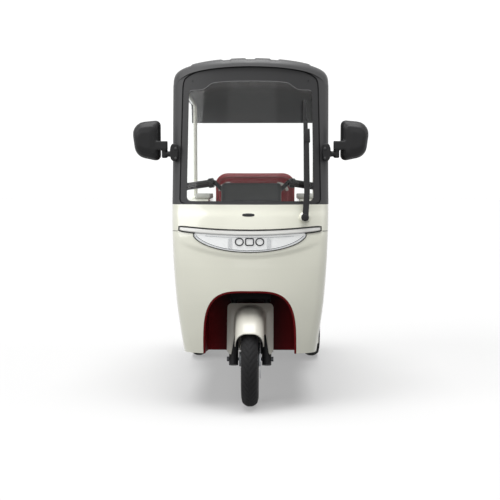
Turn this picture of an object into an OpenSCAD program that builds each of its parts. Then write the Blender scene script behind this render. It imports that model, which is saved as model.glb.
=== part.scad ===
// Electric three-wheeler: one steered front wheel under a cowl, two driven rear wheels,
// a driver's seat, a passenger bench, a windscreen and a full-length roof.
// The front faces -Y, +X is the vehicle's left-hand side, +Z is up, the ground is Z = 0.
// Lengths are in millimetres. Many positions are given as distances behind the front axle.

/* [Overall] */
// Distance of the rearmost point behind the rear axle
rear_overhang = 317; // [310:1:330]
// Height of the axles above the datum that the body's heights are measured from
axle_h = 233; // [228:1:238]
// Width of the cowl at its widest
body_w = 770; // [760:2:780]
// Gap left between neighbouring pieces
gap = 0.4; // [0.3:0.1:0.5]
// Radial running clearance of the shafts
run_gap = 0.06; // [0.03:0.01:0.1]

/* [Wheels] */
// Distance between the front and the rear axle
wheelbase = 1450; // [1440:2:1460]
// Distance between the centres of the rear tyres
track = 715; // [709:1:719]
// Outer radius of the tyres
tyre_r = 233; // [229:1:236]
// Width of the front tyre
front_tyre_w = 80; // [76:1:84]
// Width of the rear tyres
rear_tyre_w = 95; // [88:1:97]
// Height of the tyres' sidewalls
tyre_h = 81; // [76:1:86]
// Width of the rims
rim_w = 62; // [58:1:66]
// Radius of the wheel hubs
hub_r = 36; // [33:1:40]
// Number of spokes in each rim
spokes = 5; // [3:1:7]
// Width of a spoke
spoke_w = 26; // [20:1:30]
// Radius of the front axle
axle_r = 8; // [7:0.5:9]
// Radius of the rear stub axles
stub_r = 12; // [11:0.5:13]
// Radial gap between the brake disc and the rim's bead seat
disc_gap = 57; // [52:1:62]

/* [Steering] */
// Rake of the steering axis from the upright
rake = 18; // [17:0.5:19]
// Distance of the front axle ahead of the steering axis
fork_offset = 30; // [27:1:33]
// Distance of each fork leg from the centre plane
leg_x = 82; // [80:1:85]
// Radius of the lower fork legs
leg_r = 23; // [20:1:24]
// Radius of the steering stem
stem_r = 17; // [15:0.5:19]
// Gap between the fender and the yoke, along the steering axis
yoke_gap = 37; // [32:1:42]
// Length of the head tube
head_l = 235; // [225:1:245]
// Gap between the head tube and the instrument pod
pod_gap = 155; // [145:1:165]
// Radial gap between the tyre and the fender
fender_gap = 24; // [20:1:26]
// Half width of the fender crown
fender_half = 70; // [68:1:73]
// Half width of the fender's side wings
wing_half = 115; // [112:1:118]
// Radius of the handlebar tube
bar_r = 11; // [10:0.5:12]

/* [Front body] */
// Height of the lower edge of the apron
apron_z = 277; // [272:1:282]
// Height of the seam between the apron and the cowl
seam_z = 871; // [866:1:876]
// Height of the cowl above the seam
cowl_h = 129; // [125:1:133]
// Wall of the apron and the cowl
skin = 10; // [8:1:12]
// Radius of the bow of the front in plan
bow_r = 800; // [760:10:900]
// Radius of the front corners in plan
corner_r = 75; // [65:1:85]
// Rear edge of the apron and cowl sides, behind the front axle
front_back = 160; // [150:2:170]
// Half width of the wheel arch at its lower edge
arch_half = 226; // [222:1:230]
// Gap between the yoke and the top of the wheel arch
arch_clear = 46; // [42:1:49]
// Bluntness of the wheel arch curve
arch_pow = 3.6; // [3.4:0.1:3.8]
// Gap between the front tyre and the liner's rear face
liner_gap = 78; // [73:1:83]
// Distance of the lamp bar's ends from the cowl's sides
lamp_side = 42; // [37:1:48]
// Drop of the lamp bar's middle below the seam
lamp_drop = 5; // [3:1:8]
// Rise of the lamp bar towards its ends
lamp_rise = 17; // [14:1:20]
// Height of the lamp bar
lamp_bar_h = 22; // [18:1:24]
// Distance of the crescent lens's tips from the lamp bar's ends
lens_side = 65; // [60:1:72]
// Height of the crescent lens
lens_h = 95; // [90:1:99]

/* [Windscreen] */
// Height of the windscreen pillars
screen_h = 588; // [584:1:592]
// Depth of the pillars behind the bow of the front
pillar_d = 175; // [165:1:185]
// Wall of the pillars
pillar_t = 30; // [26:1:34]
// Width of the pillars beside the windscreen
pillar_face = 42; // [39:1:47]
// Height of the windscreen's lower edge above the cowl
screen_low = 5; // [5:1:12]

/* [Roof] */
// Distance of the roof's front eaves outside the cowl's sides
roof_out = 3; // [1:1:5]
// Widening of the roof towards its rear
roof_flare = 10; // [6:1:14]
// Rise of the roof crown above the eaves
roof_rise = 120; // [114:1:124]
// Thickness of the roof
roof_t = 12; // [10:1:14]
// Depth of the roof's front band
roof_band = 39; // [36:1:42]
// Drop of the rear valance's lip below the eaves
lip_drop = 113; // [103:1:123]
// Distance of the roof's rear edge ahead of the rear axle
roof_short = 35; // [25:1:40]
// Height of the raised panels on the roof
rib_h = 5; // [3:0.5:6]
// Radius of the roof posts
post_r = 12; // [11:0.5:13]

/* [Seats] */
// Half width of the driver's cushion
driver_half = 205; // [195:1:212]
// Top of the driver's cushion
driver_z = 695; // [685:1:710]
// Height of the driver's backrest above the cushion
driver_back_h = 428; // [415:1:440]
// Gap between the passenger cushion and the side bodies
bench_gap = 9; // [5:1:15]
// Top of the passenger cushion
bench_z = 785; // [775:1:800]
// Height of the passenger backrest above the cushion
bench_back_h = 386; // [375:1:400]

/* [Rear body] */
// Distance that the rear tyres stand out of the side bodies
tyre_out = 5; // [3:1:9]
// Gap between the rear tyres and the side bodies' inner faces
wheel_gap = 43; // [40:1:46]
// Front face of the side bodies, ahead of the rear axle
side_l = 520; // [514:1:525]
// Top of the side bodies
side_z = 1005; // [995:1:1012]
// Radial gap between the rear tyres and their arches
rear_arch_gap = 35; // [29:1:41]
// Drop of the parcel deck below the side bodies
deck_drop = 145; // [138:1:155]
// Depth of the rear bumper
bumper_d = 22; // [20:1:24]
// Distance between the two plate screws
plate_pitch = 160; // [140:2:180]
// Radius of the plate screw holes
plate_hole_r = 3.2; // [2.5:0.1:4]

/* [Frame and drive] */
// Top of the frame rails under the floor
rail_z = 330; // [326:1:333]
// Side of the square frame tubes
tube = 40; // [36:1:42]
// Distance of the frame rails inside the side bodies
rail_in = 52; // [48:1:56]
// Thickness of the floor
floor_t = 12; // [10:1:14]
// Distance of the floor's edges inside the cowl's sides
floor_in = 55; // [52:1:57]
// Lift of the rear rails over the axle
kick = 90; // [86:1:94]
// Radius of the rear axle tube
axle_tube_r = 28; // [25:1:30]
// Radius of the differential housing
diff_r = 98; // [90:1:102]
// Radius of the drive motor
motor_r = 78; // [72:1:82]
// Length of the drive motor
motor_l = 220; // [200:2:230]

/* [Hidden] */
$fn = 48;
half_w = body_w / 2;
overall_l = tyre_r + wheelbase + rear_overhang;
axle_f = tyre_r - overall_l / 2;
tail = wheelbase + rear_overhang;
rear_face = tail - bumper_d;
rim_r = tyre_r - tyre_h;
disc_r = rim_r - disc_gap;
floor_z = rail_z + floor_t;
kick_z = rail_z + kick;
hub_half = leg_x - leg_r - 5;
arc_n = 14;
corner_n = 6;

// Heights of the front, each from the one below
yoke_t = 28;
yoke_h = tyre_r + fender_gap + 4 + yoke_gap;
leg_top = tyre_r - 33;
arch_z = axle_h + (yoke_h + yoke_t) * cos(rake) + arch_clear;
liner_back = tyre_r + liner_gap;
lamp_z = seam_z - lamp_drop;
lamp_half = half_w - lamp_side;
lens_half = lamp_half - lens_side;
cowl_z = seam_z + cowl_h;
pillar_z = cowl_z + screen_h;
screen_half = half_w - pillar_face;
screen_z = cowl_z + screen_low;
shield = front_back - 50;

// Place of a point of the steering frame: distance behind the front axle and height
function steer_pt(y, z) = [
  (fork_offset + y) * cos(rake) + z * sin(rake),
  axle_h - (fork_offset + y) * sin(rake) + z * cos(rake)
];
head_low = (arch_z + 11 - steer_pt(0, 0)[1] + (stem_r + 13) * sin(rake)) / cos(rake);
stem_top = head_low + head_l + pod_gap;
down_y = liner_back + 14;
down_z = steer_pt(0, head_low + 120)[1];
console_back = down_y + tube + 15;

// Stations of the roof, the seats and the rear body behind the front axle
roof_nose = -2;
roof_half = half_w + roof_out;
roof_half_rear = roof_half + roof_flare;
roof_back = wheelbase - roof_short;
roof_l = roof_back - roof_nose;
roof_lip = pillar_z - lip_drop;
inner_x = track / 2 - rear_tyre_w / 2 - wheel_gap;
rear_half = track / 2 + rear_tyre_w / 2 - tyre_out;
rail_x = inner_x - rail_in;
floor_half = half_w - floor_in;
rear_low_z = rail_z;
rear_arch_r = tyre_r + rear_arch_gap;
deck_z = side_z - deck_drop;
side_front = wheelbase - side_l;
bench_front = side_front + 55;
bench_back = wheelbase + 45;
deck_front = bench_back + 11;
riser = bench_front + 15;
bench_half = inner_x - bench_gap;
bench_back_z = bench_z + bench_back_h;
driver_back_z = driver_z + driver_back_h;
function cab(f) = console_back + (bench_front - console_back) * f;

// Sections of the front, columns: height, inset from the half width, bow behind the front axle
front_rows = [
  [apron_z, 59, -125],
  [mix(apron_z, seam_z, 0.165), 45, -143],
  [mix(apron_z, seam_z, 0.418), 25, -158],
  [mix(apron_z, seam_z, 0.712), 11, -160],
  [mix(apron_z, seam_z, 0.918), 5, -151],
  [seam_z, 3, -143],
  [mix(seam_z, cowl_z, 0.535), 1, -128],
  [cowl_z, 0, -111],
  [mix(cowl_z, pillar_z, 0.34), 0, -75],
  [mix(cowl_z, pillar_z, 0.68), -roof_out * 0.6, -39],
  [pillar_z, -roof_out, -5],
  [pillar_z + 112, -roof_out, 15]
];

// Roof profile along its length, columns: outer distance from the front edge, outer drop below
// the crown, inner distance, inner drop, share of the raised panels
roof_path = [
  [0, roof_band, roof_t + 8, roof_band, 0],
  [7, 20, roof_t + 11, roof_t + 16, 0],
  [18, 8, roof_t + 18, roof_t + 8, 0.4],
  [40, 0, roof_t + 34, roof_t, 1],
  [70, 0, 70, roof_t, 1],
  [roof_l * 0.3, 0, roof_l * 0.3, roof_t, 1],
  [roof_l * 0.6, 0, roof_l * 0.6, roof_t, 1],
  [roof_l - 120, 0, roof_l - 120, roof_t, 1],
  [roof_l - 75, 1, roof_l - 78, roof_t + 1, 0],
  [roof_l - 42, 9, roof_l - 48, roof_t + 9, 0],
  [roof_l - 16, 30, roof_l - roof_t - 16, 36, 0],
  [roof_l - 4, 62, roof_l - roof_t - 4, 64, 0],
  [roof_l, 200, roof_l - roof_t, 200, 0]
];

// Stations across half the roof, columns: share of the half width, share of the raised panels
roof_across = [
  [0, 0], [0.052, 0], [0.068, 1], [0.155, 1], [0.243, 1], [0.259, 0], [0.349, 0], [0.365, 1],
  [0.5, 1], [0.63, 1], [0.746, 1], [0.762, 0], [0.84, 0], [0.905, 0], [0.947, 0], [0.976, 0],
  [0.992, 0], [1, 0]
];

// Cross members of the frame, columns: front face behind the front axle, top height
cross_members = [
  [down_y, rail_z],
  [riser, kick_z],
  [rear_face - 51, kick_z]
];

function mix(a, b, f) = a + (b - a) * f;
function curve(a, b, c, d, t) =
  0.5 * (2 * b + (c - a) * t + (2 * a - 5 * b + 4 * c - d) * t * t + (3 * b - a - 3 * c + d) * t * t * t);
function smooth_rows(rows, n) = [
  for (i = [0 : len(rows) - 2])
    for (k = [0 : n - 1])
      curve(rows[max(i - 1, 0)], rows[i], rows[i + 1], rows[min(i + 2, len(rows) - 1)], k / n),
  rows[len(rows) - 1]
];
front_smooth = smooth_rows(front_rows, 4);
function front_half(h) = half_w - lookup(h, [for (r = front_smooth) [r[0], r[1]]]);
function front_bow(h) = lookup(h, [for (r = front_smooth) [r[0], r[2]]]);
function flip(v) = [for (i = [len(v) - 1 : -1 : 0]) v[i]];
// Set-back of the front's plan at a distance from the middle, for a half width
function sweep(x, w) =
  let (a = asin((w - corner_r) / (bow_r - corner_r)), c = abs(x) - w + corner_r)
  abs(x) <= bow_r * sin(a)
    ? bow_r - sqrt(bow_r * bow_r - x * x)
    : bow_r - (bow_r - corner_r) * cos(a) - sqrt(max(corner_r * corner_r - c * c, 0));

// Plan outline of the front: a bow of large radius, two round corners and straight sides
function plan(w, bow, r, c, back) =
  let (a = asin((w - c) / (r - c)), cx = w - c, cy = bow + r - (r - c) * cos(a))
  [
    [-w, back],
    for (i = [0 : corner_n]) let (t = 90 - (90 - a) * i / corner_n) [-cx - c * sin(t), cy - c * cos(t)],
    for (i = [1 : arc_n - 1]) let (t = -a + 2 * a * i / arc_n) [r * sin(t), bow + r - r * cos(t)],
    for (i = [0 : corner_n]) let (t = a + (90 - a) * i / corner_n) [cx + c * sin(t), cy - c * cos(t)],
    [w, back]
  ];
function front_loop(h, out, back) =
  plan(front_half(h) + out, front_bow(h) - out, bow_r + out, corner_r + out, back);
function band_loop(h, out, t, back) =
  concat(front_loop(h, out, back), flip(front_loop(h, out - t, back)));

// Closed solid through a list of equal loops at a list of heights; a band has two-sided loops
module loft(loops, heights, band) {
  n = len(loops[0]);
  s = len(loops);
  m = n / 2;
  points = [for (k = [0 : s - 1]) for (p = loops[k]) [p[0], p[1], heights[k]]];
  sides = [
    for (k = [0 : s - 2])
      for (i = [0 : n - 1])
        let (j = (i + 1) % n)
        each [
          [k * n + i, (k + 1) * n + i, (k + 1) * n + j],
          [k * n + i, (k + 1) * n + j, k * n + j]
        ]
  ];
  last = (s - 1) * n;
  ends = band
    ? [
        for (i = [0 : m - 2])
          each [
            [i, i + 1, n - 2 - i],
            [i, n - 2 - i, n - 1 - i],
            [last + n - 2 - i, last + i + 1, last + i],
            [last + n - 1 - i, last + n - 2 - i, last + i]
          ]
      ]
    : [
        [for (i = [0 : n - 1]) i],
        [for (i = [n - 1 : -1 : 0]) last + i]
      ];
  polyhedron(points = points, faces = concat(sides, ends), convexity = 8);
}

// Shell of the front between two heights
module front_band(h0, h1, n, out, t, back, lean = 0) {
  hs = [for (k = [0 : n]) mix(h0, h1, k / n)];
  loft([for (h = hs) band_loop(h, out, t, back + lean * (front_bow(h) - front_bow(cowl_z)))], hs, true);
}

// Solid inside the front between two heights
module front_core(h0, h1, n, out, back) {
  hs = [for (k = [0 : n]) mix(h0, h1, k / n)];
  loft([for (h = hs) front_loop(h, out, back)], hs, false);
}

// Frame of reference of the body, below the front axle by the axle height
module at_front() {
  translate([0, axle_f, tyre_r - axle_h]) children();
}

// Frame of reference on the steering axis, with the axle at [0, -fork_offset, 0]
module at_steer() {
  at_front()
    translate([0, steer_pt(0, 0)[0], steer_pt(0, 0)[1]])
      rotate([-rake, 0, 0]) children();
}

// Flat outline in X and Z, given depth along Y
module front_prism(y0, y1) {
  translate([0, y1, 0]) rotate([90, 0, 0]) linear_extrude(y1 - y0) children();
}

// Flat outline in Y and Z, given width along X
module side_prism(x0, x1) {
  translate([x0, 0, 0]) rotate([90, 0, 90]) linear_extrude(x1 - x0) children();
}

// Box between two corners
module block(a, b) {
  translate(a) cube(b - a);
}

// Round bar between two points
module rod(a, b, r) {
  d = b - a;
  l = norm(d);
  translate(a) rotate([0, acos(d[2] / l), atan2(d[1], d[0])]) cylinder(r = r, h = l);
}

// Cylinder along X
module x_cyl(x0, x1, r) {
  translate([x0, 0, 0]) rotate([0, 90, 0]) cylinder(r = r, h = x1 - x0);
}

// Outline of the wheel arch, grown by d
module arch_outline(d) {
  p = 2 / arch_pow;
  polygon([
    for (i = [0 : 28])
      let (t = 180 * i / 28, c = cos(t))
      [sign(c) * pow(abs(c), p) * (arch_half + d), apron_z + pow(sin(t), p) * (arch_z - apron_z + d)],
    [-arch_half - d, apron_z - 60],
    [arch_half + d, apron_z - 60]
  ]);
}

// Outline of the curved lamp bar, grown by d
lamp_arc = (lamp_half * lamp_half + lamp_rise * lamp_rise) / (2 * lamp_rise);
function lamp_mid(x) = lamp_z + lamp_arc - sqrt(lamp_arc * lamp_arc - x * x);
module bar_outline(d) {
  polygon([
    for (i = [0 : 24])
      let (x = mix(-1, 1, i / 24) * (lamp_half + d), e = 1 - 0.5 * pow(abs(i - 12) / 12, 8))
      [x, lamp_mid(x) - lamp_bar_h / 2 * e - d],
    for (i = [24 : -1 : 0])
      let (x = mix(-1, 1, i / 24) * (lamp_half + d), e = 1 - 0.5 * pow(abs(i - 12) / 12, 8))
      [x, lamp_mid(x) + lamp_bar_h / 2 * e + d]
  ]);
}

// Outline of the crescent lens under the lamp bar, grown by d
module crescent_outline(d) {
  top = lamp_z + 3;
  w = lens_half * 0.975;
  polygon([
    for (i = [0 : 24])
      let (x = mix(-1, 1, i / 24) * w)
      [x * (1 + d / lens_half), top - lens_h * sqrt(1 - x * x / (lens_half * lens_half)) - d],
    for (i = [24 : -1 : 0])
      let (x = mix(-1, 1, i / 24) * w)
      [x * (1 + d / lens_half), lamp_mid(x) - (d > 0 ? 0 : lamp_bar_h / 2 + 2 - d)]
  ]);
}

// Crown height of the roof over a share of its half width
function crown(u) = pillar_z + gap + roof_rise * pow(max(1 - u * u, 0), 0.28);
// Depth of the front band over the same share, growing until it reaches the eaves at the corners
function band_drop(u) = roof_band * (1 + 0.8 * pow(abs(u), 10));
function band_low(x) =
  let (u = x / roof_half)
  max(crown(u) - band_drop(u), pillar_z + gap);

// Outline of the windscreen, shrunk by d; its upper edge follows the roof's front band
module screen_outline(d) {
  w1 = screen_half - 9 - d;
  polygon([
    [-screen_half + d + 20, screen_z + d],
    [screen_half - d - 20, screen_z + d],
    [screen_half - d - 6, screen_z + d + 6],
    [screen_half - d, screen_z + d + 20],
    [w1, pillar_z - 20],
    [w1 - 3, pillar_z + 8],
    for (i = [0 : 20])
      let (x = mix(0.97, -0.97, i / 20) * w1)
      [x, band_low(x) - 1.2 - d - 14 * pow(abs(i - 10) / 10, 10)],
    [-w1 + 3, pillar_z + 8],
    [-w1, pillar_z - 20],
    [-screen_half + d, screen_z + d + 20],
    [-screen_half + d + 6, screen_z + d + 6]
  ]);
}

// Section of a tyre, columns: radius, distance from the middle plane
function tyre_section(w) = [
  for (i = [0 : 8])
    let (t = mix(-1, 1, i / 8))
    [tyre_r - 15 * t * t, t * w * 0.43],
  [mix(rim_r, tyre_r, 0.62), w / 2],
  [mix(rim_r, tyre_r, 0.35), w / 2 - 1],
  [rim_r + 6, rim_w / 2 + 4],
  [rim_r + 0.2, rim_w / 2 - 1],
  [rim_r + 0.2, 1 - rim_w / 2],
  [rim_r + 6, -rim_w / 2 - 4],
  [mix(rim_r, tyre_r, 0.35), 1 - w / 2],
  [mix(rim_r, tyre_r, 0.62), -w / 2]
];

// Tyre about the X axis
module tyre(w) {
  rotate([0, 90, 0]) rotate_extrude($fn = 96) polygon(tyre_section(w));
}

// Spoked rim about the X axis, with a hub between two distances from the middle plane
module rim(hub_in, hub_out, bore) {
  difference() {
    union() {
      rotate([0, 90, 0])
        rotate_extrude($fn = 96)
          polygon([
            [rim_r - 14, -rim_w / 2], [rim_r, -rim_w / 2], [rim_r, rim_w / 2], [rim_r - 14, rim_w / 2],
            [rim_r - 20, rim_w / 4], [rim_r - 20, -rim_w / 4]
          ]);
      x_cyl(hub_in, hub_out, hub_r);
      for (i = [0 : spokes - 1])
        rotate([360 * i / spokes, 0, 0])
          block([-9, -spoke_w / 2, hub_r - 6], [9, spoke_w / 2, rim_r - 16]);
    }
    x_cyl(hub_in - 1, hub_out + 1, bore);
  }
}

// Section of the fender crown as a channel, columns: radius, distance from the middle plane
function fender_edge(half, r, low, c) = [
  [low, -half],
  for (i = [0 : 6]) let (t = 15 * i) [r - c + c * sin(t), -half + c - c * cos(t)],
  for (i = [0 : 6]) let (t = 90 - 15 * i) [r - c + c * sin(t), half - c + c * cos(t)],
  [low, half]
];

// Welded frame: rails with a kick over the axle, cross members, down tube and head tube
module chassis_frame() {
  color("#202226") {
    at_front()
      difference() {
        union() {
          for (s = [-1, 1])
            translate([s * rail_x, 0, 0]) {
              block([-tube / 2, down_y, rail_z - tube], [tube / 2, riser + tube, rail_z]);
              block([-tube / 2, riser, rail_z - tube], [tube / 2, riser + tube, kick_z]);
              block([-tube / 2, riser, kick_z - tube], [tube / 2, rear_face - 11, kick_z]);
            }
          for (c = cross_members)
            block([-rail_x, c[0], c[1] - tube], [rail_x, c[0] + tube, c[1]]);
          block([-tube / 2, down_y, rail_z - tube], [tube / 2, down_y + tube, down_z]);
          side_prism(-6, 6)
            polygon([
              steer_pt(20, head_low + 28),
              steer_pt(20, head_low + head_l - 10),
              [down_y + tube / 2, down_z - 3],
              [down_y + tube / 2, steer_pt(20, head_low + 28)[1]]
            ]);
        }
        translate([0, -axle_f, axle_h - tyre_r]) at_steer() cylinder(r = stem_r + 3, h = stem_top);
      }
    at_steer()
      difference() {
        translate([0, 0, head_low]) cylinder(r = stem_r + 13, h = head_l);
        translate([0, 0, head_low - 5]) cylinder(r = stem_r + run_gap, h = head_l + 10);
      }
  }
}

// Floor with two foot wells beside the wheel arch
module floor_pan() {
  toe = front_half(rail_z) - skin - 2;
  color("#2a2b2e")
    at_front()
      difference() {
        union() {
          block([-toe, shield, rail_z], [toe, front_back + 1, floor_z]);
          block([-floor_half, front_back + gap, rail_z], [floor_half, side_front - gap, floor_z]);
          block([-inner_x + gap, shield + 10, rail_z], [inner_x - gap, bench_front - gap, floor_z]);
        }
        block([-arch_half - 6 - gap, 0, rail_z - 1], [arch_half + 6 + gap, liner_back + gap, floor_z + 1]);
        block([-tube / 2 - gap, 0, rail_z - 1], [tube / 2 + gap, down_y + tube + gap, floor_z + 1]);
      }
}

// Painted sills between the front and the side bodies
module side_sills() {
  color("#e9e5d3")
    at_front()
      for (s = [-1, 1])
        translate([s * (floor_half + gap + 7.5), 0, 0])
          block([-7.5, front_back + gap, rail_z - 45], [7.5, side_front - gap, rail_z + 18]);
}

// Outline of everything above the seam, which runs along the lamp bar between its ends
module upper_outline(d) {
  polygon([
    [-500, seam_z + d],
    [-lamp_half - 12, seam_z + d],
    [4 - lamp_half, lamp_mid(lamp_half - 4) + d],
    for (i = [1 : 15])
      let (x = mix(-1, 1, i / 16) * lamp_half) [x, lamp_mid(x)],
    [lamp_half - 4, lamp_mid(lamp_half - 4) + d],
    [lamp_half + 12, seam_z + d],
    [500, seam_z + d],
    [500, 1200],
    [-500, 1200]
  ]);
}

// Apron below the seam, open for the wheel arch and the lamp
module front_apron() {
  color("#e9e5d3")
    at_front()
      difference() {
        front_band(apron_z, seam_z + 20, 15, 0, skin, front_back);
        front_prism(-400, 300) upper_outline(-gap / 2);
        front_prism(-400, 60) arch_outline(0);
        front_prism(-400, 0) bar_outline(0.8);
        front_prism(-400, 0) crescent_outline(0.8);
      }
}

// Cowl above the seam, with the hole of the wiper pivot
wiper_x = screen_half - 77;
wiper_z = cowl_z - 61;
module front_cowl() {
  color("#e9e5d3")
    at_front()
      difference() {
        intersection() {
          front_band(lamp_z - 8, cowl_z - gap, 7, 0, skin, front_back);
          front_prism(-400, 300) upper_outline(gap / 2);
        }
        front_prism(-400, 0) bar_outline(0.8);
        translate([wiper_x, 0, wiper_z]) rotate([90, 0, 0]) cylinder(r = 13 + gap, h = 300);
      }
}

// Wheel arch liner: a tunnel from the apron back to a bulkhead, open for the stem
module wheel_arch_liner() {
  color("#6b1f2c")
    difference() {
      at_front()
        intersection() {
          difference() {
            front_prism(-300, liner_back) arch_outline(6);
            front_prism(-301, liner_back - 8) arch_outline(0);
            side_prism(-500, 500)
              polygon([
                [-400, 0], [-400, apron_z], [-100, apron_z], [liner_back - 20, apron_z - 50],
                [liner_back + 50, apron_z - 50], [liner_back + 50, 0]
              ]);
          }
          front_core(apron_z - 60, arch_z + 60, 8, -skin - 2, liner_back + 200);
        }
      at_steer() cylinder(r = stem_r + 27, h = head_low + 250);
    }
}

// Inner panel behind the front shell with the shelf under the windscreen
module leg_shield() {
  top = cowl_z - 15;
  hs = [for (k = [0 : 12]) mix(floor_z + gap, top, k / 12)];
  in = skin + gap;
  color("#6b1f2c")
    at_front()
      difference() {
        union() {
          front_prism(shield, shield + 8)
            polygon(concat(
              [for (h = hs) [front_half(h) - in, h]],
              [for (h = flip(hs)) [in - front_half(h), h]]
            ));
          translate([0, 0, top - 8])
            linear_extrude(8)
              polygon(front_loop(top, -in - 0.6, shield + 4));
        }
        front_prism(0, shield + 90) arch_outline(6 + gap);
      }
}

// Console over the down tube and the steering stem, standing on the floor and the liner
module centre_console() {
  z0 = arch_z + 6 + gap;
  y0 = liner_back + gap;
  color("#6b1f2c")
    difference() {
      at_front()
        difference() {
          side_prism(-62, 62)
            polygon([
              [shield + 8 + gap, z0], [y0, z0], [y0, floor_z + gap], [console_back, floor_z + gap],
              [console_back, down_z + 4], steer_pt(75, stem_top - 28), steer_pt(-30, stem_top - 38),
              [shield + 8 + gap, steer_pt(-30, stem_top - 38)[1]]
            ]);
          side_prism(-56, 56)
            polygon([
              [shield - 10, z0 - 20], [y0 - 20, z0 - 20], [y0 - 20, floor_z - 40],
              [console_back - 6, floor_z - 40], [console_back - 6, down_z + 3],
              steer_pt(69, stem_top - 34), steer_pt(-31, stem_top - 44),
              [shield - 10, steer_pt(-31, stem_top - 44)[1]]
            ]);
        }
      at_steer() cylinder(r = stem_r + 8, h = stem_top + 100);
    }
}

// Lamp back plate against the apron
module headlamp_housing() {
  color("#c9ccd0")
    at_front()
      intersection() {
        front_band(lamp_z - 110, lamp_z + 30, 5, -skin - 2, 6, 100);
        front_prism(-400, 0) crescent_outline(9);
      }
}

// Clear crescent lens, flush with the apron
module headlamp_lens() {
  color("#eef4f8")
    at_front()
      intersection() {
        front_band(lamp_z - 101, lamp_z + 19, 6, 0, 4, 100);
        front_prism(-400, 0) crescent_outline(0);
      }
}

// Lit bar across the seam
module headlamp_bar() {
  color("#fbfbf6")
    at_front()
      intersection() {
        front_band(lamp_z - 41, lamp_z + 89, 6, 2, skin + 1, 100);
        front_prism(-400, 60) bar_outline(0);
      }
}

// Outline of everything above the pillars; between the eaves it follows the roof's front band
module over_outline() {
  w = roof_half - roof_t - 2;
  polygon([
    [-500, pillar_z], [-w, pillar_z],
    for (i = [0 : 28]) let (x = mix(-w, w, i / 28)) [x, max(band_low(x) - 4, pillar_z)],
    [w, pillar_z], [500, pillar_z], [500, pillar_z + 300], [-500, pillar_z + 300]
  ]);
}

// Windscreen pillars around the screen
module windscreen_frame() {
  color("#2b2d30")
    at_front()
      difference() {
        front_band(cowl_z, pillar_z + 60, 11, 0, pillar_t, front_bow(cowl_z) + pillar_d, 1);
        front_prism(-400, 400) screen_outline(-gap);
        front_prism(-400, 400) over_outline();
        block([-500, 110, pillar_z], [500, 400, pillar_z + 100]);
      }
}

// Curved windscreen
module windscreen_glass() {
  color("#cfdbe0")
    at_front()
      intersection() {
        front_band(cowl_z, pillar_z + 102, 14, -3, 5, front_bow(cowl_z) + 120, 1);
        front_prism(-400, 400) screen_outline(0);
      }
}

// Wiper: pivot through the cowl, tapered arm and blade
module windscreen_wiper() {
  lean = atan(0.18);
  color("#17181a")
    at_front() {
      translate([wiper_x, 0, wiper_z]) rotate([90, 0, 0]) translate([0, 0, 55]) cylinder(r = 13, h = 62);
      translate([0, -91, cowl_z])
        rotate([-lean, 0, 0]) {
          translate([wiper_x, 0, 0])
            front_prism(-11, 0)
              polygon([[-13, -76], [13, -76], [21, 60], [18, 312], [0, 312], [-3, 60]]);
          translate([wiper_x, 0, screen_h * 0.638]) {
            front_prism(-14, 3) polygon([[-4, -70], [23, -70], [21, -8], [-3, -8]]);
            front_prism(-7, 12) polygon([[-1, -50], [13, -50], [11, 30], [-2, 30]]);
            front_prism(8, 17) polygon([[-4, -280], [6, -280], [5, 140], [-6, 140]]);
          }
        }
    }
}

// Roof shell with raised panels, a front band and a drop valance at the rear
roof_us = concat(
  [for (i = [len(roof_across) - 1 : -1 : 1]) [-roof_across[i][0], roof_across[i][1]]],
  roof_across
);
function roof_point(k, j, inner) =
  let (
    row = roof_path[k],
    y = inner ? row[2] : row[0],
    f = y / roof_l,
    u = roof_us[j][0],
    drop = inner ? row[3] : row[1],
    half = mix(roof_half, roof_half_rear, f) - (inner ? roof_t : 0),
    top = crown(u) + rib_h * roof_us[j][1] * row[4],
    eave = pillar_z + gap,
    z = k == len(roof_path) - 1 ? roof_lip
      : k == 0 ? band_low(u * half)
      : k < 4 ? max(top - drop, eave)
      : max(top - drop, eave - (inner ? row[1] : drop))
  )
  [u * half, roof_nose + y + sweep(u * half, half) * (1 - f), z];
module roof() {
  ks = len(roof_path);
  js = len(roof_us);
  n = ks * js;
  points = [
    for (inner = [false, true])
      for (k = [0 : ks - 1])
        for (j = [0 : js - 1])
          roof_point(k, j, inner)
  ];
  skins = [
    for (k = [0 : ks - 2])
      for (j = [0 : js - 2])
        let (a = k * js + j, b = a + 1, c = a + js + 1, d = a + js)
        each [[a, d, c], [a, c, b], [n + a, n + c, n + d], [n + a, n + b, n + c]]
  ];
  fronts = [
    for (j = [0 : js - 2])
      let (a = j, b = j + 1, c = n - js + j, d = n - js + j + 1)
      each [
        [a, b, n + b], [a, n + b, n + a],
        [d, c, n + c], [d, n + c, n + d]
      ]
  ];
  eaves = [
    for (k = [0 : ks - 2])
      let (a = k * js, b = a + js, c = a + js - 1, d = c + js)
      each [
        [b, a, n + a], [b, n + a, n + b],
        [c, d, n + d], [c, n + d, n + c]
      ]
  ];
  color("#2b2d30")
    at_front()
      polyhedron(points = points, faces = concat(skins, fronts, eaves), convexity = 8);
}

// Tube rails beside the pillars, bent in two steps into posts that stand on the side bodies
module roof_rails() {
  bend = 36;
  y0 = front_back - 18;
  y1 = roof_back - 62 - y0;
  z = pillar_z - post_r / 2;
  x0 = roof_half - pillar_t - post_r - 3.5;
  x1 = roof_half_rear - 27;
  path = [[0, 0, z], [0, y1 - bend, z], [0, y1, z - bend], [0, y1, side_z + gap]];
  color("#e4e0ce")
    at_front()
      for (s = [-1, 1])
        translate([s * x0, y0, 0])
          rotate([0, 0, -s * atan((x1 - x0) / y1)]) {
            for (i = [0 : 2])
              rod(path[i], path[i + 1], post_r);
            for (i = [1, 2])
              translate(path[i]) sphere(r = post_r + 1.5);
          }
}

// Mirrors on brackets that wrap round the pillars, placed from the cowl's side and a height
mirror_y = 45;
mirror_z = mix(cowl_z, pillar_z, 0.415);
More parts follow.
